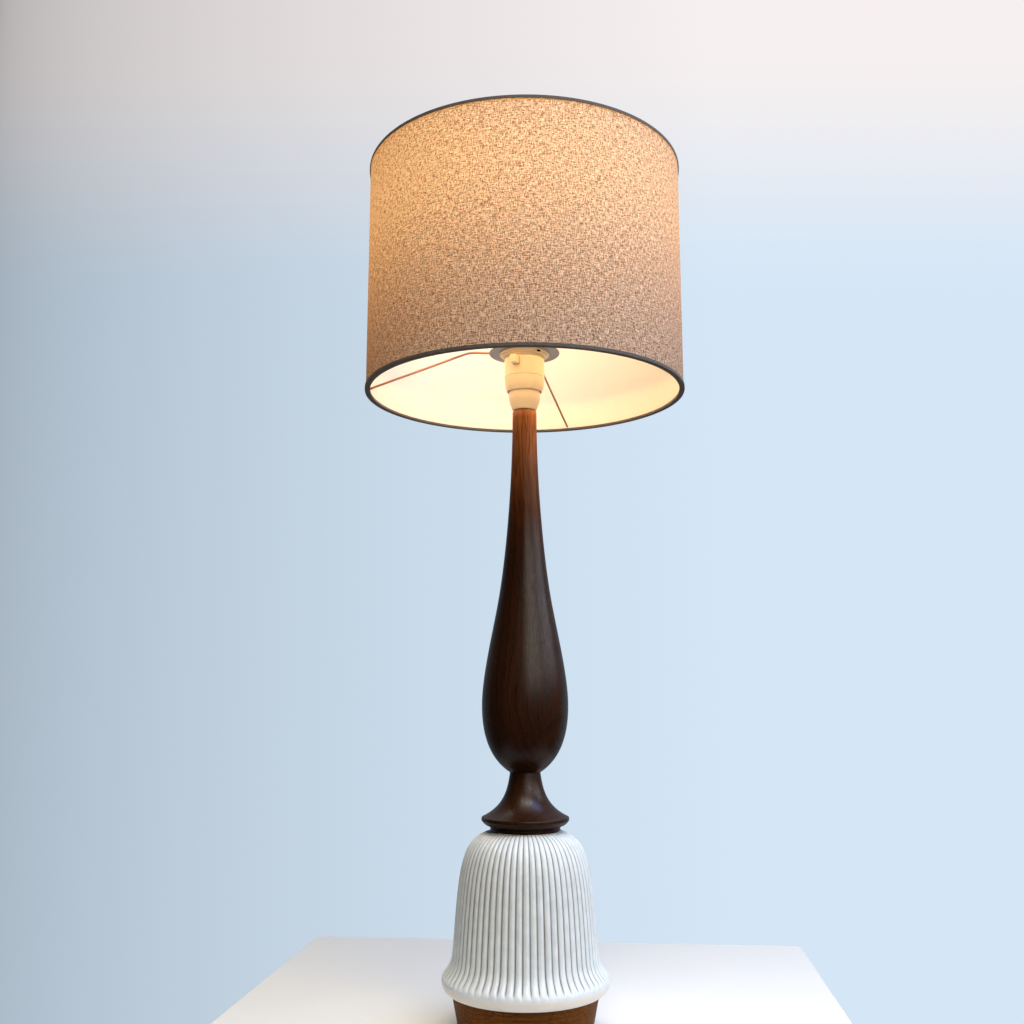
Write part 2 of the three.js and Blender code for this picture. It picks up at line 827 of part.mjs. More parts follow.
function bulbCapGeometry() {
  const inside = capRadius - capWall;
  const shell = turned([
    [inside, contactFace],
    [capRadius - capCrimp, contactFace],
    [capRadius, contactFace + capCrimp],
    [capRadius, contactFace + capHeight],
    [inside, contactFace + capHeight],
  ], smallSides);
  const pin = rod(pinRadius, inside, pinReach, tinySides).rotateY(Math.PI / 2).translate(0, 0, pinRest);
  const rest = slotAzimuth + slotTurn;
  return join(shell, atAzimuth(pin, rest), atAzimuth(pin, rest + 180));
}

function insulatorGeometry() {
  return rod(capRadius - capWall - fitGap, contactFace, contactFace + insulatorThickness, smallSides);
}

function bulbGlassGeometry() {
  const sunk = contactFace + capHeight - bulbNeckSunk;
  const neck = contactFace + capHeight + bulbNeckRise;
  const centre = contactFace + bulbLength - bulbRadius;
  const wall = (inset) => [
    [bulbNeckRadius - inset, sunk],
    [bulbNeckRadius - inset, neck],
    ...curve(
      [bulbNeckRadius - inset, neck],
      [bulbNeckRadius - inset, neck + bulbNeckReach],
      [bulbRadius - inset, centre - bulbShoulderReach],
      [bulbRadius - inset, centre],
      4,
    ),
  ];
  const dome = (inset) => Array.from({ length: 4 }, (_, i) => {
    const angle = ((i + 1) * Math.PI) / 8;
    const radius = bulbRadius - inset;
    return [i === 3 ? 0 : radius * Math.cos(angle), centre + radius * Math.sin(angle)];
  });
  const outer = [...wall(0), ...dome(0)];
  const inner = [...wall(bulbGlass), ...dome(bulbGlass)].reverse();
  return bulbShell(outer, inner);
}

// The bulb's outline meets the axis twice at its crown, so the hollow is cut out of the whole.
function bulbShell(outer, inner) {
  const mouth = inner[inner.length - 1];
  const whole = turned([[0, outer[0][1]], ...outer], smallSides);
  const low = mouth[1] - past;
  const hollow = turned([[0, low], [mouth[0], low], ...inner.slice().reverse()], smallSides);
  return cut(whole, hollow);
}

// ---------------------------------------------------------------- shade fitting

function reducerGeometry() {
  const bore = barrelRadius + runGap;
  const ring = turned([
    [bore, reducerBase],
    [reducerRadius, reducerBase],
    [reducerRadius, reducerTop],
    [reducerSpigotRadius, reducerTop],
    [reducerSpigotRadius, reducerTop + reducerSpigotHeight],
    [bore, reducerTop + reducerSpigotHeight],
  ], holderSides);
  const half = reducerLugWidth / 2;
  const inner = flangeRadius + runGap;
  const outer = reducerRadius - reducerLugInset;
  const top = reducerTop - reducerLugInset;
  const lug = block([inner, -half, reducerBase - reducerLugDrop], [outer, half, top]);
  const hole = rod(reducerLugHole, 0, reducerRadius + past, tinySides).rotateY(Math.PI / 2)
    .translate(0, 0, reducerBase - 0.5 * reducerLugDrop);
  const drilled = cut(lug, hole);
  return join(ring, atAzimuth(drilled, reducerLugAzimuth));
}

function carrierGeometry() {
  return sleeve(reducerSpigotRadius + fitGap, carrierRadius, carrierBase, carrierTop, holderSides);
}

// ---------------------------------------------------------------- shade

// Radii from the outside in: tape, fabric, liner, rim wire and the tape's hem.
const fabricOuter = shadeRadius - tapeThickness - seatGap;
const fabricInner = fabricOuter - fabricThickness;
const linerOuter = fabricInner - seatGap;
const linerInner = linerOuter - linerThickness;
const rimWireCentre = linerInner - fitGap - rimWireRadius;
const rimWireHeight = tapeThickness + fitGap + rimWireRadius;
const hemOuter = rimWireCentre - rimWireRadius - fitGap;

function fabricGeometry() {
  const inset = tapeThickness + seatGap;
  return sleeve(fabricInner, fabricOuter, inset, shadeHeight - inset, shadeSides);
}

function linerGeometry() {
  const inset = tapeThickness + seatGap;
  return sleeve(linerInner, linerOuter, inset, shadeHeight - inset, shadeSides);
}

// The folded tape round a rim, as a channel open towards the shade's middle height.
function tapeGeometry() {
  return turned([
    [hemOuter - tapeThickness, 0],
    [shadeRadius, 0],
    [shadeRadius, tapeWidth],
    [shadeRadius - tapeThickness, tapeWidth],
    [shadeRadius - tapeThickness, tapeThickness],
    [hemOuter, tapeThickness],
    [hemOuter, tapeHem],
    [hemOuter - tapeThickness, tapeHem],
  ], shadeSides);
}

function rimWireGeometry(height) {
  const section = [];
  for (let i = 0; i < wireSides; i += 1) {
    const angle = (2 * Math.PI * i) / wireSides;
    section.push([rimWireCentre + rimWireRadius * Math.cos(angle), height + rimWireRadius * Math.sin(angle)]);
  }
  return turned(section, shadeSides);
}

// One carrier arm along +X: level beside the carrier, a bend, and down to rest on the rim wire.
function armGeometry() {
  const level = carrierDrop;
  const start = new THREE.Vector3(carrierRadius + seatGap, 0, level);
  const corner = new THREE.Vector3(carrierRadius + armFlat, 0, level);
  const landing = rimWireHeight + rimWireRadius + fitGap + armWireRadius;
  const end = new THREE.Vector3(rimWireCentre, 0, landing);
  const slope = end.clone().sub(corner).normalize();
  const before = corner.clone().add(new THREE.Vector3(-armBend, 0, 0));
  const after = corner.clone().addScaledVector(slope, armBend);
  const path = new THREE.CurvePath();
  path.add(new THREE.LineCurve3(start, before));
  path.add(new THREE.QuadraticBezierCurve3(before, corner, after));
  path.add(new THREE.LineCurve3(after, end));
  return wire(armWireRadius, path, armSteps);
}

// ---------------------------------------------------------------- materials

const darkTeak = () => material(0x3a2016, 0.42);
const paleTeak = () => material(0x7a5426, 0.45);
const glaze = () => material(0xdfe6e0, 0.2);
const whitePlastic = () => material(0xf1ead9, 0.35);
const blackRubber = () => material(0x1d1c1b, 0.7);
const felt = () => material(0x2c3a2c, 0.95);
const zincSteel = () => material(0xa9aaa8, 0.35, 1);
const brass = () => material(0xb8923f, 0.3, 1);
const paintedWire = () => material(0xe8e2d6, 0.45);
const linen = () => material(0x9c8c80, 0.9);
const lining = () => material(0xf4efe2, 0.6);
const tape = () => material(0x4a4240, 0.85);
const opalGlass = () => material(0xf7f3e8, 0.15);
const aluminium = () => material(0xc4c5c6, 0.3, 1);

// ---------------------------------------------------------------- assembly

function base() {
  const plinth = piece('plinth', plinthGeometry(), paleTeak());
  const washer = sleeve(tubeHole, washerRadius, washerBase, washerBase + washerThickness, smallSides);
  const bush = piece('cable_bush', bushGeometry(), blackRubber());
  bush.rotation.x = -Math.PI / 2;
  bush.position.set(0, spotPlane + seatGap, inletHeight);
  return [
    piece('base_felt', feltGeometry(), felt()),
    group(
      feltThickness + seatGap,
      plinth,
      bush,
      piece('base_washer', washer, zincSteel()),
      piece('base_nut', nutGeometry(), brass()),
    ),
    group(bellBase, piece('ceramic_bell', bellGeometry(), glaze())),
  ];
}

function stem() {
  const tubeBottom = feltThickness + seatGap + nutBase - tubeTail;
  const tube = sleeve(tubeBore, tubeRadius, tubeBottom, holderBase + tubeNose, smallSides);
  return [
    piece('threaded_tube', tube, zincSteel()),
    group(stemBase, piece('stem_foot', footGeometry(), darkTeak())),
    group(vaseBase, piece('stem_vase', vaseGeometry(), darkTeak())),
  ];
}

// Turns a piece that is drawn on +X to a contact's place.
function placedAtContact(name, geometry, surface, index, offset) {
  const mesh = piece(name, geometry, surface);
  const angle = THREE.MathUtils.degToRad(contactAngles()[index]);
  mesh.position.set(offset * Math.cos(angle), offset * Math.sin(angle), 0);
  return mesh;
}

function contactPieces(index) {
  const number = index + 1;
  return [
    placedAtContact(`plunger_${number}`, plungerGeometry(), brass(), index, contactOffset),
    placedAtContact(`plunger_spring_${number}`, springGeometry(), zincSteel(), index, contactOffset),
    placedAtContact(`terminal_${number}`, terminalGeometry(), brass(), index, terminalOffset),
  ];
}

function lampholder() {
  const grub = rod(grubRadius, tubeHole, cupMouthRadius - cupEdge, tinySides).rotateY(Math.PI / 2);
  const grubScrew = piece('grub_screw', grub.translate(0, 0, grubHeight), zincSteel());
  grubScrew.rotation.z = THREE.MathUtils.degToRad(grubAzimuth);
  const pushBar = piece('push_bar', pushBarGeometry(), whitePlastic());
  pushBar.rotation.z = THREE.MathUtils.degToRad(pushBarAzimuth);
  return group(
    holderBase,
    piece('holder_cup', holderCupGeometry(), whitePlastic()),
    piece('holder_dome', holderDomeGeometry(), whitePlastic()),
    piece('holder_body', holderBodyGeometry(), whitePlastic()),
    piece('holder_core', holderCoreGeometry(), whitePlastic()),
    grubScrew,
    pushBar,
    ...contactPieces(0),
    ...contactPieces(1),
    piece('shade_ring', shadeRingGeometry(), whitePlastic()),
  );
}

function bulb() {
  const pad = rod(padRadius, contactFace - padThickness, contactFace - seatGap, tinySides);
  return group(
    holderBase,
    piece('bulb_cap', bulbCapGeometry(), aluminium()),
    piece('bulb_insulator', insulatorGeometry(), blackRubber()),
    placedAtContact('bulb_contact_1', pad, brass(), 0, contactOffset),
    placedAtContact('bulb_contact_2', pad, brass(), 1, contactOffset),
    piece('bulb_glass', bulbGlassGeometry(), opalGlass()),
  );
}

function shade() {
  const topTape = piece('top_trim', tapeGeometry(), tape());
  topTape.rotation.x = Math.PI;
  topTape.position.z = shadeHeight;
  const arms = armAzimuths.map((azimuth, i) => {
    const arm = piece(`carrier_arm_${i + 1}`, armGeometry(), paintedWire());
    arm.rotation.z = THREE.MathUtils.degToRad(azimuth);
    return arm;
  });
  return [
    group(
      holderBase,
      piece('reducer_ring', reducerGeometry(), whitePlastic()),
      piece('shade_carrier', carrierGeometry(), zincSteel()),
    ),
    group(
      holderBase + shadeBase,
      ...arms,
      piece('bottom_rim_wire', rimWireGeometry(rimWireHeight), paintedWire()),
      piece('top_rim_wire', rimWireGeometry(shadeHeight - rimWireHeight), paintedWire()),
      piece('shade_liner', linerGeometry(), lining()),
      piece('shade_fabric', fabricGeometry(), linen()),
      piece('bottom_trim', tapeGeometry(), tape()),
      topTape,
    ),
  ];
}

const lamp = new THREE.Group();
lamp.add(...base(), ...stem(), lampholder(), bulb(), ...shade());

export default lamp;
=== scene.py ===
"""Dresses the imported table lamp: turned teak, a fluted stoneware bell and a lit linen drum shade.

Lengths are in metres, written as millimetres times MM. The lamp stands on z = 0 with its front
towards -Y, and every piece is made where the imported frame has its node.
"""
import math
import random

import bmesh
import bpy
from bpy.props import FloatProperty, FloatVectorProperty, IntProperty, PointerProperty
from mathutils import Matrix, Vector


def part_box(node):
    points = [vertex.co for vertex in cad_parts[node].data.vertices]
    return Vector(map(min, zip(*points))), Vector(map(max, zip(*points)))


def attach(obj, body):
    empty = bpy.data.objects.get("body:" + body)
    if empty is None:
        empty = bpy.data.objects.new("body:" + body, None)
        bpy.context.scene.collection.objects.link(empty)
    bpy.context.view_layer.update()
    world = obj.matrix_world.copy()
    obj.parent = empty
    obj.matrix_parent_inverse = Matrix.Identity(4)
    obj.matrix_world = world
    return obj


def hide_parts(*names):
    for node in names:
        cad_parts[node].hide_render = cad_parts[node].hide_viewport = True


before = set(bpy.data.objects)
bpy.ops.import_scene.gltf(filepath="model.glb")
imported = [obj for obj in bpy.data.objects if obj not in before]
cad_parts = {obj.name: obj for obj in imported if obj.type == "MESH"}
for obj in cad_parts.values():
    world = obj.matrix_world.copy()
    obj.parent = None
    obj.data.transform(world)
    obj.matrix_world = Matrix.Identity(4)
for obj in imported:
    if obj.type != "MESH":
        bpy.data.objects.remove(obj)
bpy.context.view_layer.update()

bl_info = {
    "name": "Table Lamp with Drum Shade",
    "version": (1, 0, 0),
    "blender": (4, 5, 0),
    "location": "View3D > Sidebar > Table Lamp",
    "description": "Builds the visible pieces of a teak, stoneware and linen table lamp on its packed frame",
    "category": "Object",
}

MM = 0.001

LOW = {name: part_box(name)[0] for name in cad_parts}
HIGH = {name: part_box(name)[1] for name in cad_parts}

# The gap between two faces that rest on each other, and the bore round the threaded tube.
SEAT = 0.05 * MM
TUBE_BORE = 5.3 * MM
# Points nearer to the axis than this lie on it.
ON_AXIS = 1e-7
# An edge sharper than CREASE is kept sharp in the shading, or rounded by bevelled. A corner of an
# outline wider than FLAT_CORNER is not rounded.
CREASE = math.radians(35)
FLAT_CORNER = math.radians(155)


# ---------------------------------------------------------------- settings


def hex_colour(code):
    """An sRGB hex value as linear red, green and blue."""
    parts = [int(code[i:i + 2], 16) / 255 for i in (0, 2, 4)]
    return tuple(p / 12.92 if p <= 0.04045 else ((p + 0.055) / 1.055) ** 2.4 for p in parts)


def length(name, description, default):
    return FloatProperty(name=name, description=description, default=default, unit="LENGTH")


def colour(name, description, code):
    return FloatVectorProperty(
        name=name, description=description, default=hex_colour(code), subtype="COLOR", size=3,
        min=0.0, max=1.0,
    )


def amount(name, description, default):
    return FloatProperty(name=name, description=description, default=default)


class BaseSettings(bpy.types.PropertyGroup):
    """Sizes and colours of the plinth, the felt and the cable bush."""

    edge: length("Plinth Edge", "Rounding of the plinth's edges", 1.5 * MM)
    wood: colour("Pale Teak", "Colour of the plinth's wood", "5e360c")
    line: colour("Pale Teak Line", "Colour of its late wood", "3d1f06")
    felt: colour("Felt", "Colour of the felt under the plinth", "2c3a2c")
    rubber: colour("Rubber", "Colour of the cable bush", "1d1c1b")


class BellSettings(bpy.types.PropertyGroup):
    """Sizes and colours of the fluted bell."""

    flutes: IntProperty(name="Flutes", description="Number of grooves round the bell", default=64)
    flute_depth: length("Flute Depth", "Depth of a groove at the waist", 1.6 * MM)
    waist_radius: length("Waist Radius", "Radius where the wall turns into the flare", 63.6 * MM)
    waist_height: length("Waist Height", "Height of the waist above the bell's foot", 32 * MM)
    lip_height: length("Lip Height", "Height of the widest line above the bell's foot", 10 * MM)
    glaze: colour("Glaze", "Colour of the glaze on the ribs", "eaf1f4")
    # The grooves' grey is partly glaze that pools there and partly painted shade.
    pool: colour("Groove Glaze and Shade", "Colour of the thick glaze down in the grooves", "807d78")
    lip: colour("Lip", "Colour of the smooth lip", "efe8db")


class StemSettings(bpy.types.PropertyGroup):
    """Sizes and colours of the turned stem."""

    belly_height: length("Belly Height", "Height of the widest line above the foot", 59.2 * MM)
    waist_radius: length("Waist Radius", "Radius where the curve turns", 24.9 * MM)
    waist_height: length("Waist Height", "Height of that line above the foot", 150.2 * MM)
    neck_radius: length("Neck Radius", "Radius of the stem's top", 11.4 * MM)
    heel_radius: length("Heel Radius", "Radius where the vase meets the foot", 14 * MM)
    foot_radius: length("Foot Neck Radius", "Radius of the foot's top", 13.6 * MM)
    collar_radius: length("Collar Radius", "Radius of the foot on the bell", 31.1 * MM)
    ridge_height: length("Ridge Height", "Height of the ridge's lower edge above the bell", 9 * MM)
    wood: colour("Dark Teak", "Colour of the stem's wood", "2c1508")
    line: colour("Dark Teak Line", "Colour of its late wood", "150803")
    ring_spacing: length("Ring Spacing", "Distance between two growth rings", 5 * MM)


class HolderSettings(bpy.types.PropertyGroup):
    """Colours of the lampholder and the metal pieces."""

    urea: colour("White Urea", "Colour of the moulded lampholder", "f1dcb8")
    zinc: colour("Zinc", "Colour of the plated steel pieces", "a39e98")
    brass: colour("Brass", "Colour of the turned brass pieces", "b8923f")
    copper_wash: colour("Copper Wash", "Colour of the shade frame's wire", "c69078")
    aluminium: colour("Aluminium", "Colour of the bulb's cap", "c4c5c6")


class BulbSettings(bpy.types.PropertyGroup):
    """The lit bulb."""

    glow: colour("Glow", "Colour of the bulb's light", "ffc27c")
    strength: amount("Strength", "Brightness of the glass", 14.0)
    opal: colour("Opal Glass", "Colour of the glass", "f7f3e8")


class ShadeSettings(bpy.types.PropertyGroup):
    """Sizes and colours of the drum shade."""

    thread: length("Thread Spacing", "Distance between two threads of the linen", 0.8 * MM)
    lap: length("Lap", "Width of the linen's glued lap at the back", 12 * MM)
    cloth: length("Linen Thickness", "Thickness of one layer of linen", 0.35 * MM)
    linen: colour("Linen", "Colour of the linen's light threads", "bab3a8")
    slub: colour("Slub", "Colour of the linen's dark slubs", "57493f")
    glow: colour("Linen Glow", "Colour of the light that comes through the linen beside the bulb", "ffc27a")
    dusk: colour("Linen Dusk", "Colour of the light that comes through it far from the bulb", "ffaf70")
    glow_strength: amount("Glow Strength", "Brightness of the linen beside the bulb", 0.85)
    glow_height: length("Glow Height", "Height of the brightest line of the shade", 740 * MM)
    lining: colour("Lining", "Colour of the lining", "f4efe2")
    tape: colour("Rim Tape", "Colour of the cotton tape round the rims", "5a534f")


class StageSettings(bpy.types.PropertyGroup):
    """The camera, the lights, the floor and the wall."""

    lens: FloatProperty(name="Lens", description="Focal length in millimetres", default=37.4)
    pitch: FloatProperty(
        name="Pitch", description="How far the camera looks up", default=math.radians(9.34), subtype="ANGLE",
    )
    eye: FloatVectorProperty(
        name="Eye", description="Place of the camera", default=(-11.8 * MM, -976.8 * MM, 295 * MM), size=3,
        subtype="TRANSLATION",
    )
    floor: colour("Floor", "Colour of the stone floor", "fcfcfd")
    wall: colour("Wall", "Colour of the painted wall", "c3d3e2")
    room: colour("Room", "Colour of the dim light from the whole room", "3a3632")
    wash: colour("Wash", "Colour of the wall where the lamp lights it", "f6f0f0")


class LampSettings(bpy.types.PropertyGroup):
    """All settings of the lamp."""

    base: PointerProperty(type=BaseSettings)
    bell: PointerProperty(type=BellSettings)
    stem: PointerProperty(type=StemSettings)
    holder: PointerProperty(type=HolderSettings)
    bulb: PointerProperty(type=BulbSettings)
    shade: PointerProperty(type=ShadeSettings)
    stage: PointerProperty(type=StageSettings)


# ---------------------------------------------------------------- outlines


def curve(start, pull, push, end, steps):
    """The points of a cubic curve after its start, as (radius, height) pairs."""
    points = []
    for i in range(1, steps + 1):
        t = i / steps
        weights = ((1 - t) ** 3, 3 * t * (1 - t) ** 2, 3 * t * t * (1 - t), t ** 3)
        points.append(tuple(
            sum(w * p[k] for w, p in zip(weights, (start, pull, push, end))) for k in (0, 1)
        ))
    return points


def eased(outline, radius, steps=4):
    """A closed outline with its sharp corners rounded, as sanding or a mould leaves them."""
    points, count = [], len(outline)
    for i, here in enumerate(outline):
        corner = Vector(here)
        before, after = Vector(outline[i - 1]) - corner, Vector(outline[(i + 1) % count]) - corner
        if here[0] < ON_AXIS or before.angle(after, math.pi) > FLAT_CORNER:
            points.append(here)
            continue
        start = before.normalized() * min(radius, 0.45 * before.length)
        end = after.normalized() * min(radius, 0.45 * after.length)
        # A point a little way out on each flat keeps the flat's shading flat.
        points.append(tuple(corner + 1.1 * start))
        for k in range(steps + 1):
            t = k / steps
            points.append(tuple(corner + (1 - t) ** 2 * start + t * t * end))
        points.append(tuple(corner + 1.1 * end))
    return points


def oblong(left, right, low, high):
    return [(left, low), (right, low), (right, high), (left, high)]


# ---------------------------------------------------------------- solids


def mesh_object(name, verts, faces):
    """A mesh of those points and faces, with outward normals and soft shading."""
    mesh = bpy.data.meshes.new(name)
    mesh.from_pydata(verts, [], faces)
    shaped = bmesh.new()
    shaped.from_mesh(mesh)
    bmesh.ops.recalc_face_normals(shaped, faces=shaped.faces)
    shaped.to_mesh(mesh)
    shaped.free()
    obj = bpy.data.objects.new(name, mesh)
    bpy.context.scene.collection.objects.link(obj)
    return smoothed(obj)


def smoothed(obj):
    """Shades the faces softly and keeps creases sharp."""
    obj.data.shade_smooth()
    obj.data.set_sharp_from_angle(angle=CREASE)
    return obj


def turned(name, outline, sides=96, relief=None):
    """A closed outline turned about Z. relief(i, k, radius, height) may give a point in row i and
    column k its own (angle, radius)."""
    verts, rows = [], []
    for i, (radius, height) in enumerate(outline):
        if radius < ON_AXIS:
            rows.append([len(verts)] * sides)
            verts.append((0.0, 0.0, height))
            continue
        rows.append(list(range(len(verts), len(verts) + sides)))
        for k in range(sides):
            angle, reach = 2 * math.pi * k / sides, radius
            if relief:
                angle, reach = relief(i, k, radius, height)
            verts.append((reach * math.cos(angle), reach * math.sin(angle), height))
    faces = []
    for row, above in zip(rows, rows[1:] + rows[:1]):
        for k in range(sides):
            n = (k + 1) % sides
            corners = [row[k], row[n], above[n], above[k]]
            face = [c for j, c in enumerate(corners) if c != corners[j - 1]]
            if len(face) > 2:
                faces.append(face)
    return mesh_object(name, verts, faces)


def rod(name, radius, low, high, sides=24):
    """A round rod on the Z axis, as a tool for a hole."""
    return turned(name, oblong(0, radius, low, high), sides)


def swept(name, path, radii, sides=12):
    """A round bar along a path of points, with a radius for each point."""
    verts, last = [], len(path) - 1
    side = (path[1] - path[0]).orthogonal()
    for i, point in enumerate(path):
        ahead = (path[min(i + 1, last)] - path[max(i - 1, 0)]).normalized()
        side = (side - ahead * side.dot(ahead)).normalized()
        for k in range(sides):
            angle = 2 * math.pi * k / sides
            verts.append(point + radii[i] * (math.cos(angle) * side + math.sin(angle) * ahead.cross(side)))
    faces = [tuple(range(sides))[::-1], tuple(last * sides + k for k in range(sides))]
    for i in range(last):
        for k in range(sides):
            n = (k + 1) % sides
            faces.append((i * sides + k, i * sides + n, (i + 1) * sides + n, (i + 1) * sides + k))
    return mesh_object(name, verts, faces)


def extruded(name, outline, low, high):
    """A closed outline of (x, y) points, drawn up from one height to another."""
    count = len(outline)
    verts = [(x, y, z) for z in (low, high) for x, y in outline]
    faces = [tuple(range(count))[::-1], tuple(range(count, 2 * count))]
    faces += [(k, (k + 1) % count, count + (k + 1) % count, count + k) for k in range(count)]
    return mesh_object(name, verts, faces)


def bevelled(obj, width):
    """Rounds the sharp edges of a piece by that width."""
    shaped = bmesh.new()
    shaped.from_mesh(obj.data)
    sharp = [edge for edge in shaped.edges if edge.calc_face_angle(0) > CREASE]
    bmesh.ops.bevel(shaped, geom=sharp, offset=width, segments=3, profile=0.5, affect="EDGES")
    shaped.to_mesh(obj.data)
    shaped.free()
    return smoothed(obj)


def worked(obj, tools, operation="DIFFERENCE"):
    """Cuts the tools out of a piece, or fuses them to it, and clears the tools away."""
    for tool in tools:
        modifier = obj.modifiers.new(tool.name, "BOOLEAN")
        modifier.object, modifier.operation, modifier.solver = tool, operation, "EXACT"
    made = bpy.data.meshes.new_from_object(obj.evaluated_get(bpy.context.evaluated_depsgraph_get()))
    obj.modifiers.clear()
    obj.data = made
    for tool in tools:
        bpy.data.objects.remove(tool, do_unlink=True)
    return smoothed(obj)


def moved(obj, *steps):
    """Moves the points of a piece through each matrix in turn, and leaves its origin where it is."""
    for step in steps:
        obj.data.transform(step)
    return obj


def about(axis, degrees):
    return Matrix.Rotation(math.radians(degrees), 4, axis)


def dress(obj, finish, body, slot, *nodes):
    """Gives a piece its finish and body, and hides the CAD nodes that it stands for. The slot is not used.
    """
    obj.data.materials.clear()
    obj.data.materials.append(finish)
    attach(obj, body)
    if nodes:
        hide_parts(*nodes)
    return obj


def refinish(finish, *nodes):
    """Gives CAD nodes that keep their shape a finish of their own."""
    for node in nodes:
        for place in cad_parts[node].material_slots:
            place.material = finish


# ---------------------------------------------------------------- finishes


def add(tree, kind, sockets=(), **settings):
    """Adds a shader node. A socket given for an input is linked to it, and a value is set on it."""
    node = tree.nodes.new("ShaderNode" + kind)
    for name, value in settings.items():
        setattr(node, name, value)
    for name, value in dict(sockets).items():
        if isinstance(value, bpy.types.NodeSocket):
            tree.links.new(value, node.inputs[name])
        else:
            node.inputs[name].default_value = value
    return node


def start_finish(name):
    """An empty material, its node tree, and the place on the piece that its patterns follow."""
    finish = bpy.data.materials.new(name)
    finish.use_nodes = True
    finish.node_tree.nodes.clear()
    return finish, finish.node_tree, add(finish.node_tree, "TexCoord").outputs["Object"]


def end_finish(finish, sockets):
    """Gives a material its surface."""
    shader = add(finish.node_tree, "BsdfPrincipled", sockets)
    add(finish.node_tree, "OutputMaterial", {"Surface": shader.outputs[0]})
    return finish


def rgba(linear, share=1.0):
    return (*(min(1.0, c * share) for c in linear), 1.0)


def mix(tree, share, first, second):
    """A colour between two others."""
    return add(tree, "Mix", {0: share, 6: first, 7: second}, data_type="RGBA").outputs[2]


def shaded(tree, share, linear, low, high=1.0):
    """A colour that goes from one share of its brightness to another."""
    return mix(tree, share, rgba(linear, low), rgba(linear, high))


def calculate(tree, operation, *values, kind="Math", **settings):
    """A sum of values or, of the kind VectorMath, of places and colours."""
    return add(tree, kind, enumerate(values), operation=operation, **settings).outputs[0]


def scaled(tree, vector, factor):
    """A place or a colour times one value."""
    return add(tree, "VectorMath", {0: vector, "Scale": factor}, operation="SCALE").outputs[0]


def remap(tree, value, start, end, low=0.0, high=1.0, **settings):
    """A value taken from the range between start and end to the range between low and high."""
    return add(tree, "MapRange", {
        "Value": value, "From Min": start, "From Max": end, "To Min": low, "To Max": high,
    }, **settings).outputs[0]


def noise(tree, place, size, detail, roughness=0.5, output="Fac"):
    """Clouds or grain whose patches are about that size in metres."""
    return add(tree, "TexNoise", {
        "Vector": place, "Scale": 1 / size, "Detail": detail, "Roughness": roughness,
    }).outputs[output]


def wave(tree, place, spacing, distortion=0.0, detail_scale=1.0, **settings):
    """Bands or rings that repeat every so many metres."""
    return add(tree, "TexWave", {
        "Vector": place, "Scale": math.pi / (10 * spacing), "Distortion": distortion,
        "Detail Scale": detail_scale,
    }, **settings).outputs["Fac"]


def bump(tree, height, strength, distance):
    """Relief too fine for the mesh."""
    return add(tree, "Bump", {"Height": height, "Strength": strength, "Distance": distance}).outputs[0]


def upward(tree, vector):
    """The Z part of a place or a direction."""
    return add(tree, "SeparateXYZ", {0: vector}).outputs["Z"]


def along_grain(tree, block, axis, across, along):
    """A place where a pattern comes out that size in metres across the grain and along it."""
    scale = [1 / along if name == axis else 1 / across for name in "XYZ"]
    return add(tree, "Mapping", {"Vector": block, "Scale": scale}).outputs[0]


# Painted light of the bulb on the wood nearest to it: how steeply the painted light comes on, and
# how much lighter it ends in red, green and blue.
PAINTED_LIGHT_CURVE = 2.6
PAINTED_LIGHT_GAIN = (18.5, 22.5, 22.5)


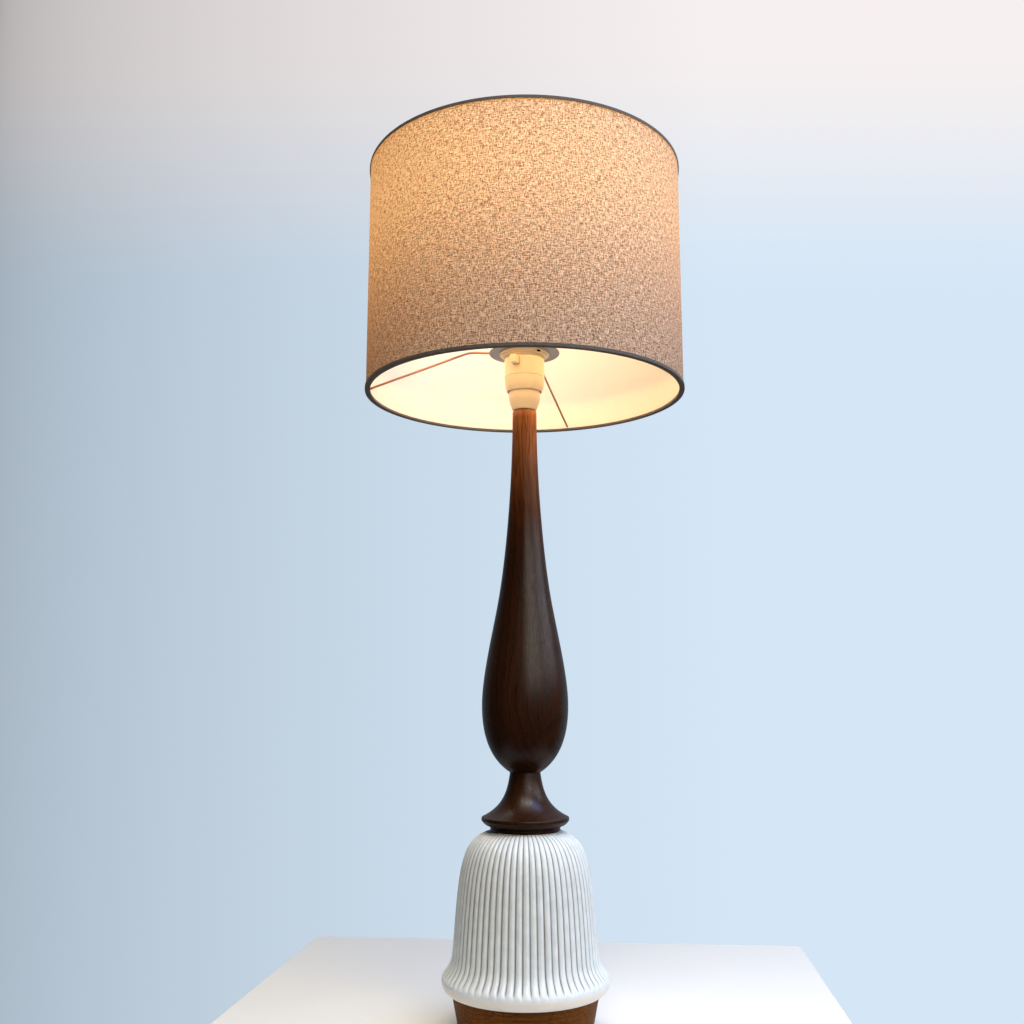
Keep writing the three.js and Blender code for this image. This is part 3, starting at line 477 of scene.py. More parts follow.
def teak(name, wood, line, spacing, axis, pith, tilt, roughness, turning, gloss, painted_light_heights=(2.0, 3.0)):
    """Teak, turned and oiled. The shape cuts the growth rings of a block whose pith lies beside it,
    so the rings show as long flames. Open pores run along the grain and the sheen is satin. Between
    the two heights given for the painted light, the wood is painted lighter and more orange, as
    painted light of the bulb, and its sheen is duller."""
    finish, tree, place = start_finish(name)
    block = add(tree, "Mapping", {"Vector": place, "Location": pith, "Rotation": tilt}).outputs[0]
    slow = along_grain(tree, block, axis, 26 * MM, 210 * MM)
    drift = noise(tree, slow, 1.0, 2.0, output="Color")
    centred = calculate(tree, "SUBTRACT", drift, (0.5, 0.5, 0.5), kind="VectorMath")
    grown = calculate(tree, "ADD", block, scaled(tree, centred, 16 * MM), kind="VectorMath")
    rings = wave(tree, grown, spacing, 0.7, 1.2, wave_type="RINGS", rings_direction=axis, wave_profile="SAW")
    fibre = noise(tree, along_grain(tree, grown, axis, 0.9 * MM, 80 * MM), 1.0, 3.0, 0.65)
    # Pores are 0.3 mm wide. They are drawn 0.8 mm wide, so that they show.
    specks = noise(tree, along_grain(tree, block, axis, 0.8 * MM, 20 * MM), 1.0, 0.0)
    pores = remap(tree, specks, 0.6, 0.72)

    warmth = remap(tree, noise(tree, slow, 1 / 0.6, 1.0), 0.35, 0.65)
    body = shaded(tree, warmth, wood, 0.8, 1.5)
    late_wood = remap(tree, rings, 0.4, 1.0, 0.0, 0.4)
    streak = remap(tree, fibre, 0.3, 0.7, 0.5, 1.4)
    streaked = scaled(tree, mix(tree, late_wood, body, rgba(line)), streak)
    pored = mix(tree, calculate(tree, "MULTIPLY", pores, 0.6), streaked, rgba(line, 0.5))
    # Painted light of the bulb: towards the top, between the two heights, the colour is lifted lighter and
    # more orange.
    risen = remap(tree, upward(tree, place), *painted_light_heights)
    painted_bulb_light = calculate(tree, "POWER", risen, PAINTED_LIGHT_CURVE)
    painted_light_lift = calculate(tree, "MULTIPLY_ADD", painted_bulb_light, PAINTED_LIGHT_GAIN, (1.0, 1.0, 1.0), kind="VectorMath")
    coloured = calculate(tree, "MULTIPLY", pored, painted_light_lift, kind="VectorMath")

    marks = wave(tree, place, 1.4 * MM, 1.5, 0.3, bands_direction="Z")
    grooves = calculate(tree, "SUBTRACT", calculate(tree, "MULTIPLY", marks, turning), pores)
    relief = bump(tree, calculate(tree, "ADD", fibre, grooves), 0.15, 0.2 * MM)
    rub = remap(tree, streak, 0.5, 1.4, roughness + 0.12, roughness - 0.08)
    # The cloth that polishes the wood on the lathe reaches the undersides less.
    facing = upward(tree, add(tree, "NewGeometry").outputs["Normal"])
    polish = remap(tree, facing, -0.7, -0.1, 0.25 * gloss, gloss)
    kept = remap(tree, painted_bulb_light, 0.0, 0.1, 1.0, 0.3)
    return end_finish(finish, {
        "Base Color": coloured, "Roughness": rub, "IOR": 1.46, "Normal": relief,
        "Specular IOR Level": calculate(tree, "MULTIPLY", polish, kept),
    })


def glazed_stoneware(bell):
    """Stoneware, cast and dipped in a semi-matt tin glaze: milky on the ribs, grey down in the grooves,
    partly where the glaze pools and partly as painted shade, and creamy on the wiped lip, with soft
    broad highlights."""
    finish, tree, place = start_finish("Semi-matt Glazed Stoneware")
    groove = add(tree, "Attribute", attribute_name="groove").outputs["Fac"]
    mottle = noise(tree, place, 9 * MM, 4.0)
    rib = shaded(tree, remap(tree, mottle, 0.35, 0.65), bell.glaze, 0.93, 1.03)
    # Darker grey down in the grooves: partly pooled glaze, partly painted shade.
    groove_glaze_and_shade_share = remap(tree, groove, 0.3, 0.95, 0.0, 0.9, interpolation_type="SMOOTHSTEP")
    fluted = mix(tree, groove_glaze_and_shade_share, rib, rgba(bell.pool))
    lip_top = LOW["ceramic_bell"].z + bell.lip_height
    wiped = remap(tree, upward(tree, place), lip_top - 0.5 * MM, lip_top - 3 * MM)
    return end_finish(finish, {
        "Base Color": mix(tree, wiped, fluted, rgba(bell.lip)), "IOR": 1.52,
        "Roughness": remap(tree, mottle, 0.0, 1.0, 0.26, 0.42),
        "Normal": bump(tree, noise(tree, place, 2.2 * MM, 2.0), 0.12, 0.15 * MM),
    })


def moulded_urea(holder):
    """Urea resin, compression-moulded: warm white and faintly clouded, with a soft gloss."""
    finish, tree, place = start_finish("Moulded White Urea")
    cloud = noise(tree, place, 7 * MM, 3.0)
    return end_finish(finish, {
        "Base Color": shaded(tree, cloud, holder.urea, 0.9), "IOR": 1.55,
        "Roughness": remap(tree, cloud, 0.0, 1.0, 0.28, 0.4),
        "Normal": bump(tree, noise(tree, place, 0.8 * MM, 1.0), 0.08, 0.05 * MM),
    })


def worked_metal(name, tint, roughness, line_spacing):
    """Metal with the fine rings of its turning, rolling or drawing, dulled a little by handling."""
    finish, tree, place = start_finish(name)
    blotch = noise(tree, place, 6 * MM, 3.0)
    lines = wave(tree, place, line_spacing, 0.4, bands_direction="Z")
    return end_finish(finish, {
        "Base Color": shaded(tree, blotch, tint, 0.8, 1.1), "Metallic": 1.0,
        "Roughness": remap(tree, blotch, 0.0, 1.0, roughness - 0.07, roughness + 0.1),
        "Normal": bump(tree, lines, 0.2, 0.05 * MM),
    })


def moulded_rubber(base):
    """Rubber, moulded: nearly black and matt, with a fine grain from the mould."""
    finish, tree, place = start_finish("Moulded Rubber")
    grain = noise(tree, place, 0.9 * MM, 3.0)
    return end_finish(finish, {
        "Base Color": shaded(tree, grain, base.rubber, 0.7, 1.5),
        "Roughness": 0.7, "IOR": 1.52, "Normal": bump(tree, grain, 0.3, 0.1 * MM),
    })


def pressed_felt(base):
    """Wool felt, pressed: dark green, fuzzy and fully matt."""
    finish, tree, place = start_finish("Pressed Wool Felt")
    fuzz = noise(tree, place, 1.2 * MM, 5.0, 0.7)
    return end_finish(finish, {
        "Base Color": shaded(tree, fuzz, base.felt, 0.5, 1.6),
        "Roughness": 0.95, "Sheen Weight": 0.3, "Normal": bump(tree, fuzz, 0.6, 0.4 * MM),
    })


# What the linen lets through of the light behind it, where a slub is thick and where yarn is thin.
THICK_YARN = (0.38, 0.24, 0.16, 1.0)
THIN_YARN = (1.4, 1.36, 1.3, 1.0)


def slub_linen(shade, lit_radius):
    """Linen, plain-woven from heathered slub yarn, with the bulb behind it: dark flecks of thick
    yarn in a warm glow, painted light emitted by the linen itself, that fades away from the bulb as
    light on a wall does."""
    finish, tree, place = start_finish("Woven Slub Linen")
    cloth = add(tree, "UVMap", uv_map="cloth").outputs["UV"]
    thread = shade.thread

    def yarn(across, along, detail, seed):
        """Noise drawn out along the threads, sizes in threads."""
        spread = add(tree, "Mapping", {
            "Vector": cloth, "Location": (seed, seed, seed),
            "Scale": (1 / (across * thread), 1 / (along * thread), 1.0),
        }).outputs[0]
        return noise(tree, spread, 1.0, detail, 0.6)

    crossed = calculate(tree, "ADD", yarn(1.0, 7.0, 1.0, 0.0), yarn(7.0, 1.0, 1.0, 3.0))
    mixed = calculate(tree, "ADD", crossed, yarn(1.5, 1.5, 2.0, 8.0))
    even = remap(tree, mixed, 1.15, 1.85)
    thick = calculate(tree, "MAXIMUM", yarn(0.9, 3.5, 0.0, 13.0), yarn(3.5, 0.9, 0.0, 21.0))
    slubs = calculate(tree, "MULTIPLY", remap(tree, thick, 0.62, 0.74), 0.55)
    tone = calculate(tree, "SUBTRACT", even, slubs, use_clamp=True)

    # Painted light: the bulb's light through the linen is emission of the linen, brightest at the glow
    # height.
    above = calculate(tree, "SUBTRACT", upward(tree, place), shade.glow_height)
    ratio = calculate(tree, "DIVIDE", above, lit_radius)
    falloff = calculate(tree, "POWER", calculate(tree, "MULTIPLY_ADD", ratio, ratio, 1.0), -1.5)
    warmth = mix(tree, falloff, rgba(shade.dusk), rgba(shade.glow))
    passed = mix(tree, tone, THICK_YARN, THIN_YARN)
    filtered = calculate(tree, "MULTIPLY", warmth, passed, kind="VectorMath")

    over = wave(tree, cloth, thread, bands_direction="X")
    under = wave(tree, cloth, thread, bands_direction="Y")
    relief = calculate(tree, "ADD", calculate(tree, "MULTIPLY", over, under), tone)
    return end_finish(finish, {
        "Base Color": mix(tree, tone, rgba(shade.slub), rgba(shade.linen, 1.15)),
        "Roughness": 0.9, "Specular IOR Level": 0.15, "Normal": bump(tree, relief, 0.5, 0.3 * MM),
        "Emission Color": scaled(tree, filtered, remap(tree, falloff, 0.0, 1.0, 0.02)),
        "Emission Strength": shade.glow_strength,
    })


def laminate_lining(shade):
    """Lining laminate, rolled styrene on paper: smooth warm white with a dull sheen."""
    finish, tree, place = start_finish("Rolled Lining Laminate")
    cloud = noise(tree, place, 18 * MM, 3.0)
    return end_finish(finish, {
        "Base Color": shaded(tree, cloud, shade.lining, 0.95), "Roughness": 0.6, "IOR": 1.5,
        "Normal": bump(tree, noise(tree, place, 1.5 * MM, 1.0), 0.1, 0.1 * MM),
    })


def cotton_tape(shade):
    """Cotton tape, twill-woven, folded and glued: grey-brown and matt, with fine slanting ribs."""
    finish, tree, place = start_finish("Woven Cotton Tape")
    x, y, z = add(tree, "SeparateXYZ", {0: place}).outputs
    run = calculate(tree, "MULTIPLY", calculate(tree, "ARCTAN2", y, x), HIGH["bottom_trim"].x)
    strip = add(tree, "CombineXYZ", {0: run, 1: z}).outputs[0]
    # Twill ribs are 0.6 mm apart. They are drawn 1.1 mm apart, so that they show.
    rib = wave(tree, strip, 1.1 * MM, 1.0, 2.0, bands_direction="DIAGONAL")
    ribbed = calculate(tree, "MULTIPLY_ADD", rib, 0.35, noise(tree, strip, 2.5 * MM, 4.0))
    tone = remap(tree, ribbed, 0.35, 1.0)
    return end_finish(finish, {
        "Base Color": shaded(tree, tone, shade.tape, 0.6, 1.3),
        "Roughness": 0.85, "Sheen Weight": 0.2, "Normal": bump(tree, ribbed, 0.4, 0.2 * MM),
    })


def lit_opal_glass(bulb, low, high):
    """Opal glass, blown, and lit from its neck: a soft warm white, brightest over its dome."""
    finish, tree, place = start_finish("Blown Opal Glass")
    rise = remap(tree, upward(tree, place), low, high, 0.12, interpolation_type="SMOOTHSTEP")
    cloud = remap(tree, noise(tree, place, 12 * MM, 2.0), 0.0, 1.0, 0.92)
    return end_finish(finish, {
        "Base Color": rgba(bulb.opal), "Roughness": 0.15, "IOR": 1.5,
        "Emission Color": scaled(tree, bulb.glow, calculate(tree, "MULTIPLY", rise, cloud)),
        "Emission Strength": bulb.strength,
    })


# ---------------------------------------------------------------- base


class LAMP_OT_base(bpy.types.Operator):
    """Make the turned plinth with its cable hole, and finish the felt, bush, washer, tube and springs"""

    bl_idname = "lamp.base"
    bl_label = "Plinth"

    taper = 0.2
    register_height = 3 * MM
    register_radius = 59.7 * MM
    recess_radius = 24 * MM
    recess_depth = 16 * MM
    cable_hole = 5.3 * MM
    spot_depth = 1.9 * MM
    # The cable hole is cut from inside the recess to beyond the back of the plinth.
    hole_start = 20 * MM
    hole_end = 70 * MM

    def plinth(self, edge):
        low, high = LOW["plinth"], HIGH["plinth"]
        seat, ceiling = high.z - self.register_height, low.z + self.recess_depth
        foot = high.x - self.taper * (seat - low.z)
        outline = [
            (self.recess_radius, low.z), (foot, low.z), (high.x, seat),
            (self.register_radius, seat), (self.register_radius, high.z),
            (TUBE_BORE, high.z), (TUBE_BORE, ceiling), (self.recess_radius, ceiling),
        ]
        return turned("turned_plinth", eased(outline, edge), sides=128)

    def inlet(self):
        """The tools that cut the cable hole and the sinking for the flange of its bush."""
        low, high = LOW["cable_bush"], HIGH["cable_bush"]
        hole = rod("inlet", self.cable_hole, self.hole_start, self.hole_end, sides=32)
        spot_face = rod("spot_face", high.x + 0.3 * MM, high.y - self.spot_depth, self.hole_end, sides=32)
        lift = Matrix.Translation((0, 0, (low.z + high.z) / 2))
        return [moved(tool, about("X", -90), lift) for tool in (hole, spot_face)]

    def execute(self, context):
        lamp = context.scene.table_lamp
        pale = teak(
            "Turned Oiled Pale Teak", lamp.base.wood, lamp.base.line, spacing=4.2 * MM, axis="X",
            pith=(0, 55 * MM, -96 * MM), tilt=(0.02, 0.05, 0.03), roughness=0.55, turning=0.12, gloss=0.08,
        )
        plinth = worked(self.plinth(lamp.base.edge), self.inlet())
        dress(plinth, pale, "stand", "pale_teak", "plinth")
        refinish(pressed_felt(lamp.base), "base_felt")
        refinish(moulded_rubber(lamp.base), "cable_bush")
        zinc = worked_metal("Zinc-plated Rolled Steel", lamp.holder.zinc, 0.35, 1 * MM)
        refinish(zinc, "base_washer", "threaded_tube", "grub_screw", "plunger_spring_1", "plunger_spring_2")
        return {"FINISHED"}


# ---------------------------------------------------------------- bell


class LAMP_OT_bell(bpy.types.Operator):
    """Make the fluted stoneware bell"""

    bl_idname = "lamp.bell"
    bl_label = "Fluted Bell"

    wall = 5.5 * MM
    top = 7 * MM
    foot = 65.5 * MM
    mouth = 60 * MM
    collar = 31.1 * MM
    # How far the wall's curve is pulled in above the waist, and down below the collar.
    lean = 5.1 * MM
    droop = 7.2 * MM
    # How far above the foot the flutes begin, and over what height they come to their full depth.
    flutes_start = 8.5 * MM
    flutes_fade = 7.5 * MM
    # Places across one rib where its outline has a point, in parts of the pitch from groove to groove.
    rib = (0, 0.04, 0.1, 0.2, 0.35, 0.5, 0.65, 0.8, 0.9, 0.96)

    def outside(self, bell):
        """The turned outline outside, from the foot to the collar."""
        base, high = LOW["ceramic_bell"].z, HIGH["ceramic_bell"]
        foot, lip = (self.foot, base), (high.x, base + bell.lip_height)
        waist, collar = (bell.waist_radius, base + bell.waist_height), (self.collar, high.z)
        flare, rise = waist[1] - lip[1], collar[1] - waist[1]
        outline = [foot]
        outline += curve(foot, (0.4 * foot[0] + 0.6 * lip[0], base), (lip[0], base + 4.5 * MM), lip, 8)
        outline += curve(lip, (lip[0], lip[1] + 0.28 * flare),
                         (waist[0] + 0.9 * MM, lip[1] + 0.32 * flare), waist, 14)
        outline += curve(waist, (waist[0] - self.lean, waist[1] + 0.715 * rise),
                         (collar[0] + 26.6 * MM, collar[1] - self.droop), collar, 44)
        return outline

    def inside(self, bell):
        """The turned outline inside, from the top down to the foot."""
        base, high = LOW["ceramic_bell"].z, HIGH["ceramic_bell"].z
        waist = (bell.waist_radius - self.wall - bell.flute_depth, base + bell.waist_height)
        ceiling = high - self.top
        vault = curve(waist, (waist[0] - self.lean, high - 60 * MM),
                      (waist[0] - self.lean, ceiling - self.droop), (self.collar, ceiling), 12)
        return [(TUBE_BORE, high), (TUBE_BORE, ceiling), *reversed(vault), waist,
                (self.mouth, base + bell.lip_height), (self.mouth, base)]

    def execute(self, context):
        bell = context.scene.table_lamp.bell
        outside = self.outside(bell)
        hand = random.Random(7)
        depths = [hand.uniform(0.92, 1.08) for _ in range(bell.flutes)]
        shifts = [hand.uniform(-0.015, 0.015) for _ in range(bell.flutes)]
        pitch = 2 * math.pi / bell.flutes
        start = LOW["ceramic_bell"].z + self.flutes_start
        grooves = []

        def relief(i, k, radius, height):
            """Sinks the flutes into the outside, and notes how deep in a groove each point lies."""
            flute, column = divmod(k, len(self.rib))
            share = self.rib[column]
            after = (flute + 1) % bell.flutes
            shift = (1 - share) * shifts[flute] + share * shifts[after]
            angle = (flute + share + 0.5 + shift) * pitch - math.pi / 2
            if i >= len(outside):
                grooves.append(0.0)
                return angle, radius
            fade = min(1.0, max(0.0, (height - start) / self.flutes_fade))
            fade *= fade * (3 - 2 * fade)
            crown = 1 - math.sin(math.pi * share) ** 0.8
            depth = crown * ((1 - share) * depths[flute] + share * depths[after])
            grooves.append(depth * fade)
            return angle, radius - bell.flute_depth * depth * fade * min(1.0, radius / bell.waist_radius)

        columns = bell.flutes * len(self.rib)
        body = turned("fluted_bell", outside + self.inside(bell), sides=columns, relief=relief)
        marks = body.data.attributes.new("groove", "FLOAT", "POINT")
        marks.data.foreach_set("value", grooves)
        dress(body, glazed_stoneware(bell), "stand", "glaze", "ceramic_bell")
        return {"FINISHED"}


# ---------------------------------------------------------------- stem


class LAMP_OT_stem(bpy.types.Operator):
    """Make the turned teak stem: the vase and its trumpet foot"""

    bl_idname = "lamp.stem"
    bl_label = "Turned Stem"

    socket = 9.3 * MM
    socket_depth = 10 * MM
    spigot = 9 * MM
    edge = 0.3 * MM
    # How much the radius shrinks for each metre of height, at the vase's waist.
    slope = 0.182
    # The neck's end: a chamfer between two depths below the top, then a step inwards.
    chamfer = 2.4 * MM
    chamfer_end = 1.6 * MM
    step_height = 1.5 * MM
    step = 1.3 * MM

    def foot(self, stem):
        low, high = LOW["stem_foot"], HIGH["stem_foot"]
        ridge = (high.x, low.z + stem.ridge_height)
        upper = (high.x - 0.3 * MM, ridge[1] + 2.6 * MM)
        collar = (stem.collar_radius, low.z + 4 * MM)
        neck = (stem.foot_radius, high.z)
        floor = high.z - self.socket_depth
        outline = [(collar[0], low.z + self.edge), (collar[0], collar[1] - self.edge)]
        outline += curve(collar, ((collar[0] + high.x) / 2, collar[1]),
                         (high.x - 1.5 * MM, ridge[1] - 2.2 * MM), ridge, 10)
        outline += curve(ridge, (high.x, ridge[1] + 0.8 * MM), (high.x, upper[1] - 0.5 * MM), upper, 4)
        outline += curve(upper, (neck[0] + 6 * MM, upper[1] + 9 * MM),
                         (neck[0] + 2.3 * MM, high.z - 0.4 * (high.z - ridge[1])), neck, 30)
        outline += [(self.socket, high.z), (self.socket, floor), (TUBE_BORE, floor), (TUBE_BORE, low.z),
                    (collar[0] - self.edge, low.z)]
        return turned("turned_stem_foot", outline, sides=128)

    def vase(self, stem):
        low, high = LOW["stem_vase"], HIGH["stem_vase"]
        base = HIGH["stem_foot"].z + SEAT
        heel, belly = (stem.heel_radius, base), (high.x, base + stem.belly_height)
        waist, neck = (stem.waist_radius, base + stem.waist_height), (stem.neck_radius, high.z - 8.6 * MM)
        outline = [heel]
        outline += curve(heel, (heel[0] + 16.9 * MM, base + 0.19 * stem.belly_height),
                         (high.x, base + 0.515 * stem.belly_height), belly, 20)
        outline += curve(belly, (high.x, belly[1] + 25 * MM),
                         (waist[0] + 30 * MM * self.slope, waist[1] - 30 * MM), waist, 20)
        outline += curve(waist, (waist[0] - 41 * MM * self.slope, waist[1] + 41 * MM),
                         (neck[0], neck[1] - 60 * MM), neck, 24)
        top = neck[0] - self.step
        outline += [(neck[0], high.z - self.chamfer), (neck[0] - 0.5 * MM, high.z - self.chamfer_end),
                    (top, high.z - self.step_height), (top, high.z), (TUBE_BORE, high.z),
                    (TUBE_BORE, low.z), (self.spigot, low.z), (self.spigot, base)]
        return turned("turned_stem_vase", outline, sides=128)

    def execute(self, context):
        stem = context.scene.table_lamp.stem
        # The top of the stem is painted lighter and more orange, as painted light of the bulb.
        dark = teak(
            "Turned Oiled Dark Teak", stem.wood, stem.line, spacing=stem.ring_spacing, axis="Z",
            pith=(38 * MM, -30 * MM, 0), tilt=(0.05, 0.035, 0), roughness=0.3, turning=0.1, gloss=0.34,
            painted_light_heights=(0.38, 0.56),
        )
        for obj, node in ((self.foot(stem), "stem_foot"), (self.vase(stem), "stem_vase")):
            dress(obj, dark, "stand", "dark_teak", node)
        return {"FINISHED"}


# ---------------------------------------------------------------- lampholder


# The direction in which the push bar slides, in degrees.
PUSH_AZIMUTH = 245.5


def peg(name, start, end, clearance=0.0):
    """One end of the push bar or, with a clearance, the window round it: a block along the bar with
    rounded upper corners."""
    low, high = LOW["push_bar"].z, HIGH["push_bar"].z
    half, middle, rise = 3.2 * MM + clearance, (low + high) / 2, (high - low) / 2 + clearance
    rounding = 1.6 * MM
    right = [(half, -rise), (half, rise - rounding)]
    right += curve((half, rise - rounding), (half, rise - 0.35 * rounding),
                   (half - 0.65 * rounding, rise), (half - rounding, rise), 5)
    outline = right + [(-x, y) for x, y in reversed(right)]
    lying = Matrix(((0, 0, 1, 0), (1, 0, 0, 0), (0, 1, 0, middle), (0, 0, 0, 1)))
    return moved(extruded(name, outline, start, end), lying, about("Z", PUSH_AZIMUTH))


class LAMP_OT_holder(bpy.types.Operator):
    """Make the moulded lampholder: cup, dome, body and push bar, and finish the pieces inside it"""

    bl_idname = "lamp.holder"
    bl_label = "Lampholder"

    mould = 0.35 * MM
    clearance = 0.35 * MM
    step = 0.3 * MM
    cavity = 17.2 * MM
    plunger_well = 1.85 * MM
    slot_azimuth = 20
    slot_turn = 18
    # Where the push bar's two ends stop, and where each meets its thin middle, from the axis.
    bar_end = 27 * MM
    bar_tail = -19 * MM
    bar_shoulder = 15.5 * MM

    def cup(self):
        low, high = LOW["holder_cup"], HIGH["holder_cup"]
        mouth, wall, edge = 11.4 * MM, high.x - 1.8 * MM, 0.5 * MM
        outline = [(TUBE_BORE, low.z), (mouth - edge, low.z), (mouth, low.z + edge)]
        outline += curve(outline[-1], (mouth + 1.8 * MM, low.z + 5.6 * MM),
                         (high.x, low.z + 9.1 * MM), (high.x, low.z + 14 * MM), 12)
        outline += [(high.x, high.z), (wall, high.z), (wall, low.z + 12 * MM),
                    (wall - 3 * MM, low.z + 10 * MM), (TUBE_BORE, low.z + 10 * MM)]
        hole = rod("grub_hole", 1.7 * MM, 0, 17 * MM)
        moved(hole, about("X", -90), Matrix.Translation((0, 0, low.z + 5 * MM)))
        return worked(turned("moulded_cup", outline), [hole])

    def dome(self):
        low, high = LOW["holder_dome"], HIGH["holder_dome"]
        skirt, inner, throat = 16.7 * MM, 15.6 * MM, 13.2 * MM
        web = HIGH["holder_cup"].z + SEAT
        outline = [(inner, low.z + 0.4 * MM), (inner + 0.4 * MM, low.z), (skirt - 0.3 * MM, low.z)]
        outline += curve((skirt, low.z + 0.3 * MM), (skirt + 1.6 * MM, low.z + 4 * MM),
                         (high.x, low.z + 8 * MM), (high.x, high.z - self.mould), 14)
        outline += [(high.x - self.mould, high.z), (self.cavity, high.z), (self.cavity, web + 2 * MM),
                    (throat, web + 2 * MM), (throat, web), (inner, web)]
        return turned("moulded_dome", outline)

    def body(self):
        low, high = LOW["holder_body"], HIGH["holder_body"]
        outer, seam = HIGH["holder_dome"].x, low.z
        flange, flange_top = seam + 20.75 * MM, seam + 22.25 * MM
        shelf_top, shelf = flange_top + 1 * MM, flange_top - 1 * MM
        barrel, bore = 14.1 * MM, 11.25 * MM
        outline = eased([
            (0, shelf), (self.cavity, shelf), (self.cavity, seam), (outer, seam),
            (outer, seam + 16.75 * MM), (outer - 2 * self.step, seam + 17.0 * MM),
            (outer - 2 * self.step, seam + 17.4 * MM), (outer - self.step, seam + 17.6 * MM),
            (outer - self.step, flange), (high.x, flange), (high.x, flange_top), (barrel, flange_top),
            (barrel, high.z), (bore, high.z), (bore, shelf_top), (0, shelf_top),
        ], self.mould, steps=3)
        tools = [peg("window", -outer - 2 * MM, outer + 2 * MM, self.clearance)]
        for azimuth in (self.slot_azimuth, self.slot_azimuth + 180):
            tools += self.bayonet_way(azimuth, high.z)
        for node in ("plunger_1", "plunger_2"):
            middle = (LOW[node] + HIGH[node]) / 2
            well = rod(node + "_hole", self.plunger_well, shelf - 2 * MM, shelf_top + 2 * MM)
            tools.append(moved(well, Matrix.Translation((middle.x, middle.y, 0))))
        return worked(turned("moulded_holder_body", outline), tools)

    def bayonet_way(self, azimuth, rim):
        """The way that one pin of the bulb takes: down, round, and up into its rest."""
        half = 1.35 * MM
        rest = rim - 9 * MM
        low = rest - 2 * MM - half
        across = oblong(9.25 * MM, 16.1 * MM, -half, half)
        way = [("entry", azimuth, rim + 2 * MM), ("rest", azimuth + self.slot_turn, rest + half)]
        way += [("turn_%d" % i, azimuth + self.slot_turn * i / 6, low + 2 * half) for i in range(1, 6)]
        return [moved(extruded(name, across, low, top), about("Z", turn)) for name, turn, top in way]

    def push_bar(self):
        """The bar: a peg at each end, joined by a thin middle that passes between the contacts."""
        middle = (LOW["push_bar"].z + HIGH["push_bar"].z) / 2
        end = peg("moulded_push_bar", self.bar_shoulder, self.bar_end)
        tail = peg("push_bar_tail", self.bar_tail, -self.bar_shoulder)
        across = oblong(-16.5 * MM, 16.5 * MM, -2.3 * MM, 2.3 * MM)
        waist = extruded("waist", across, middle - 2.5 * MM, middle + 2.5 * MM)
        bar = worked(end, [tail, moved(waist, about("Z", PUSH_AZIMUTH))], "UNION")
        return bevelled(bar, 0.3 * MM)

    def execute(self, context):
        lamp = context.scene.table_lamp
        urea = moulded_urea(lamp.holder)
        made = (("holder_cup", self.cup), ("holder_dome", self.dome), ("holder_body", self.body))
        for node, make in made:
            dress(make(), urea, "stand", "white_plastic", node)
        dress(self.push_bar(), urea, "push_bar", "white_plastic", "push_bar")
        refinish(urea, "holder_core")
        brass = worked_metal("Turned Brass", lamp.holder.brass, 0.3, 0.5 * MM)
        refinish(brass, "base_nut", "terminal_1", "terminal_2", "plunger_1", "plunger_2",
                 "bulb_contact_1", "bulb_contact_2")
        return {"FINISHED"}


# ---------------------------------------------------------------- shade fitting


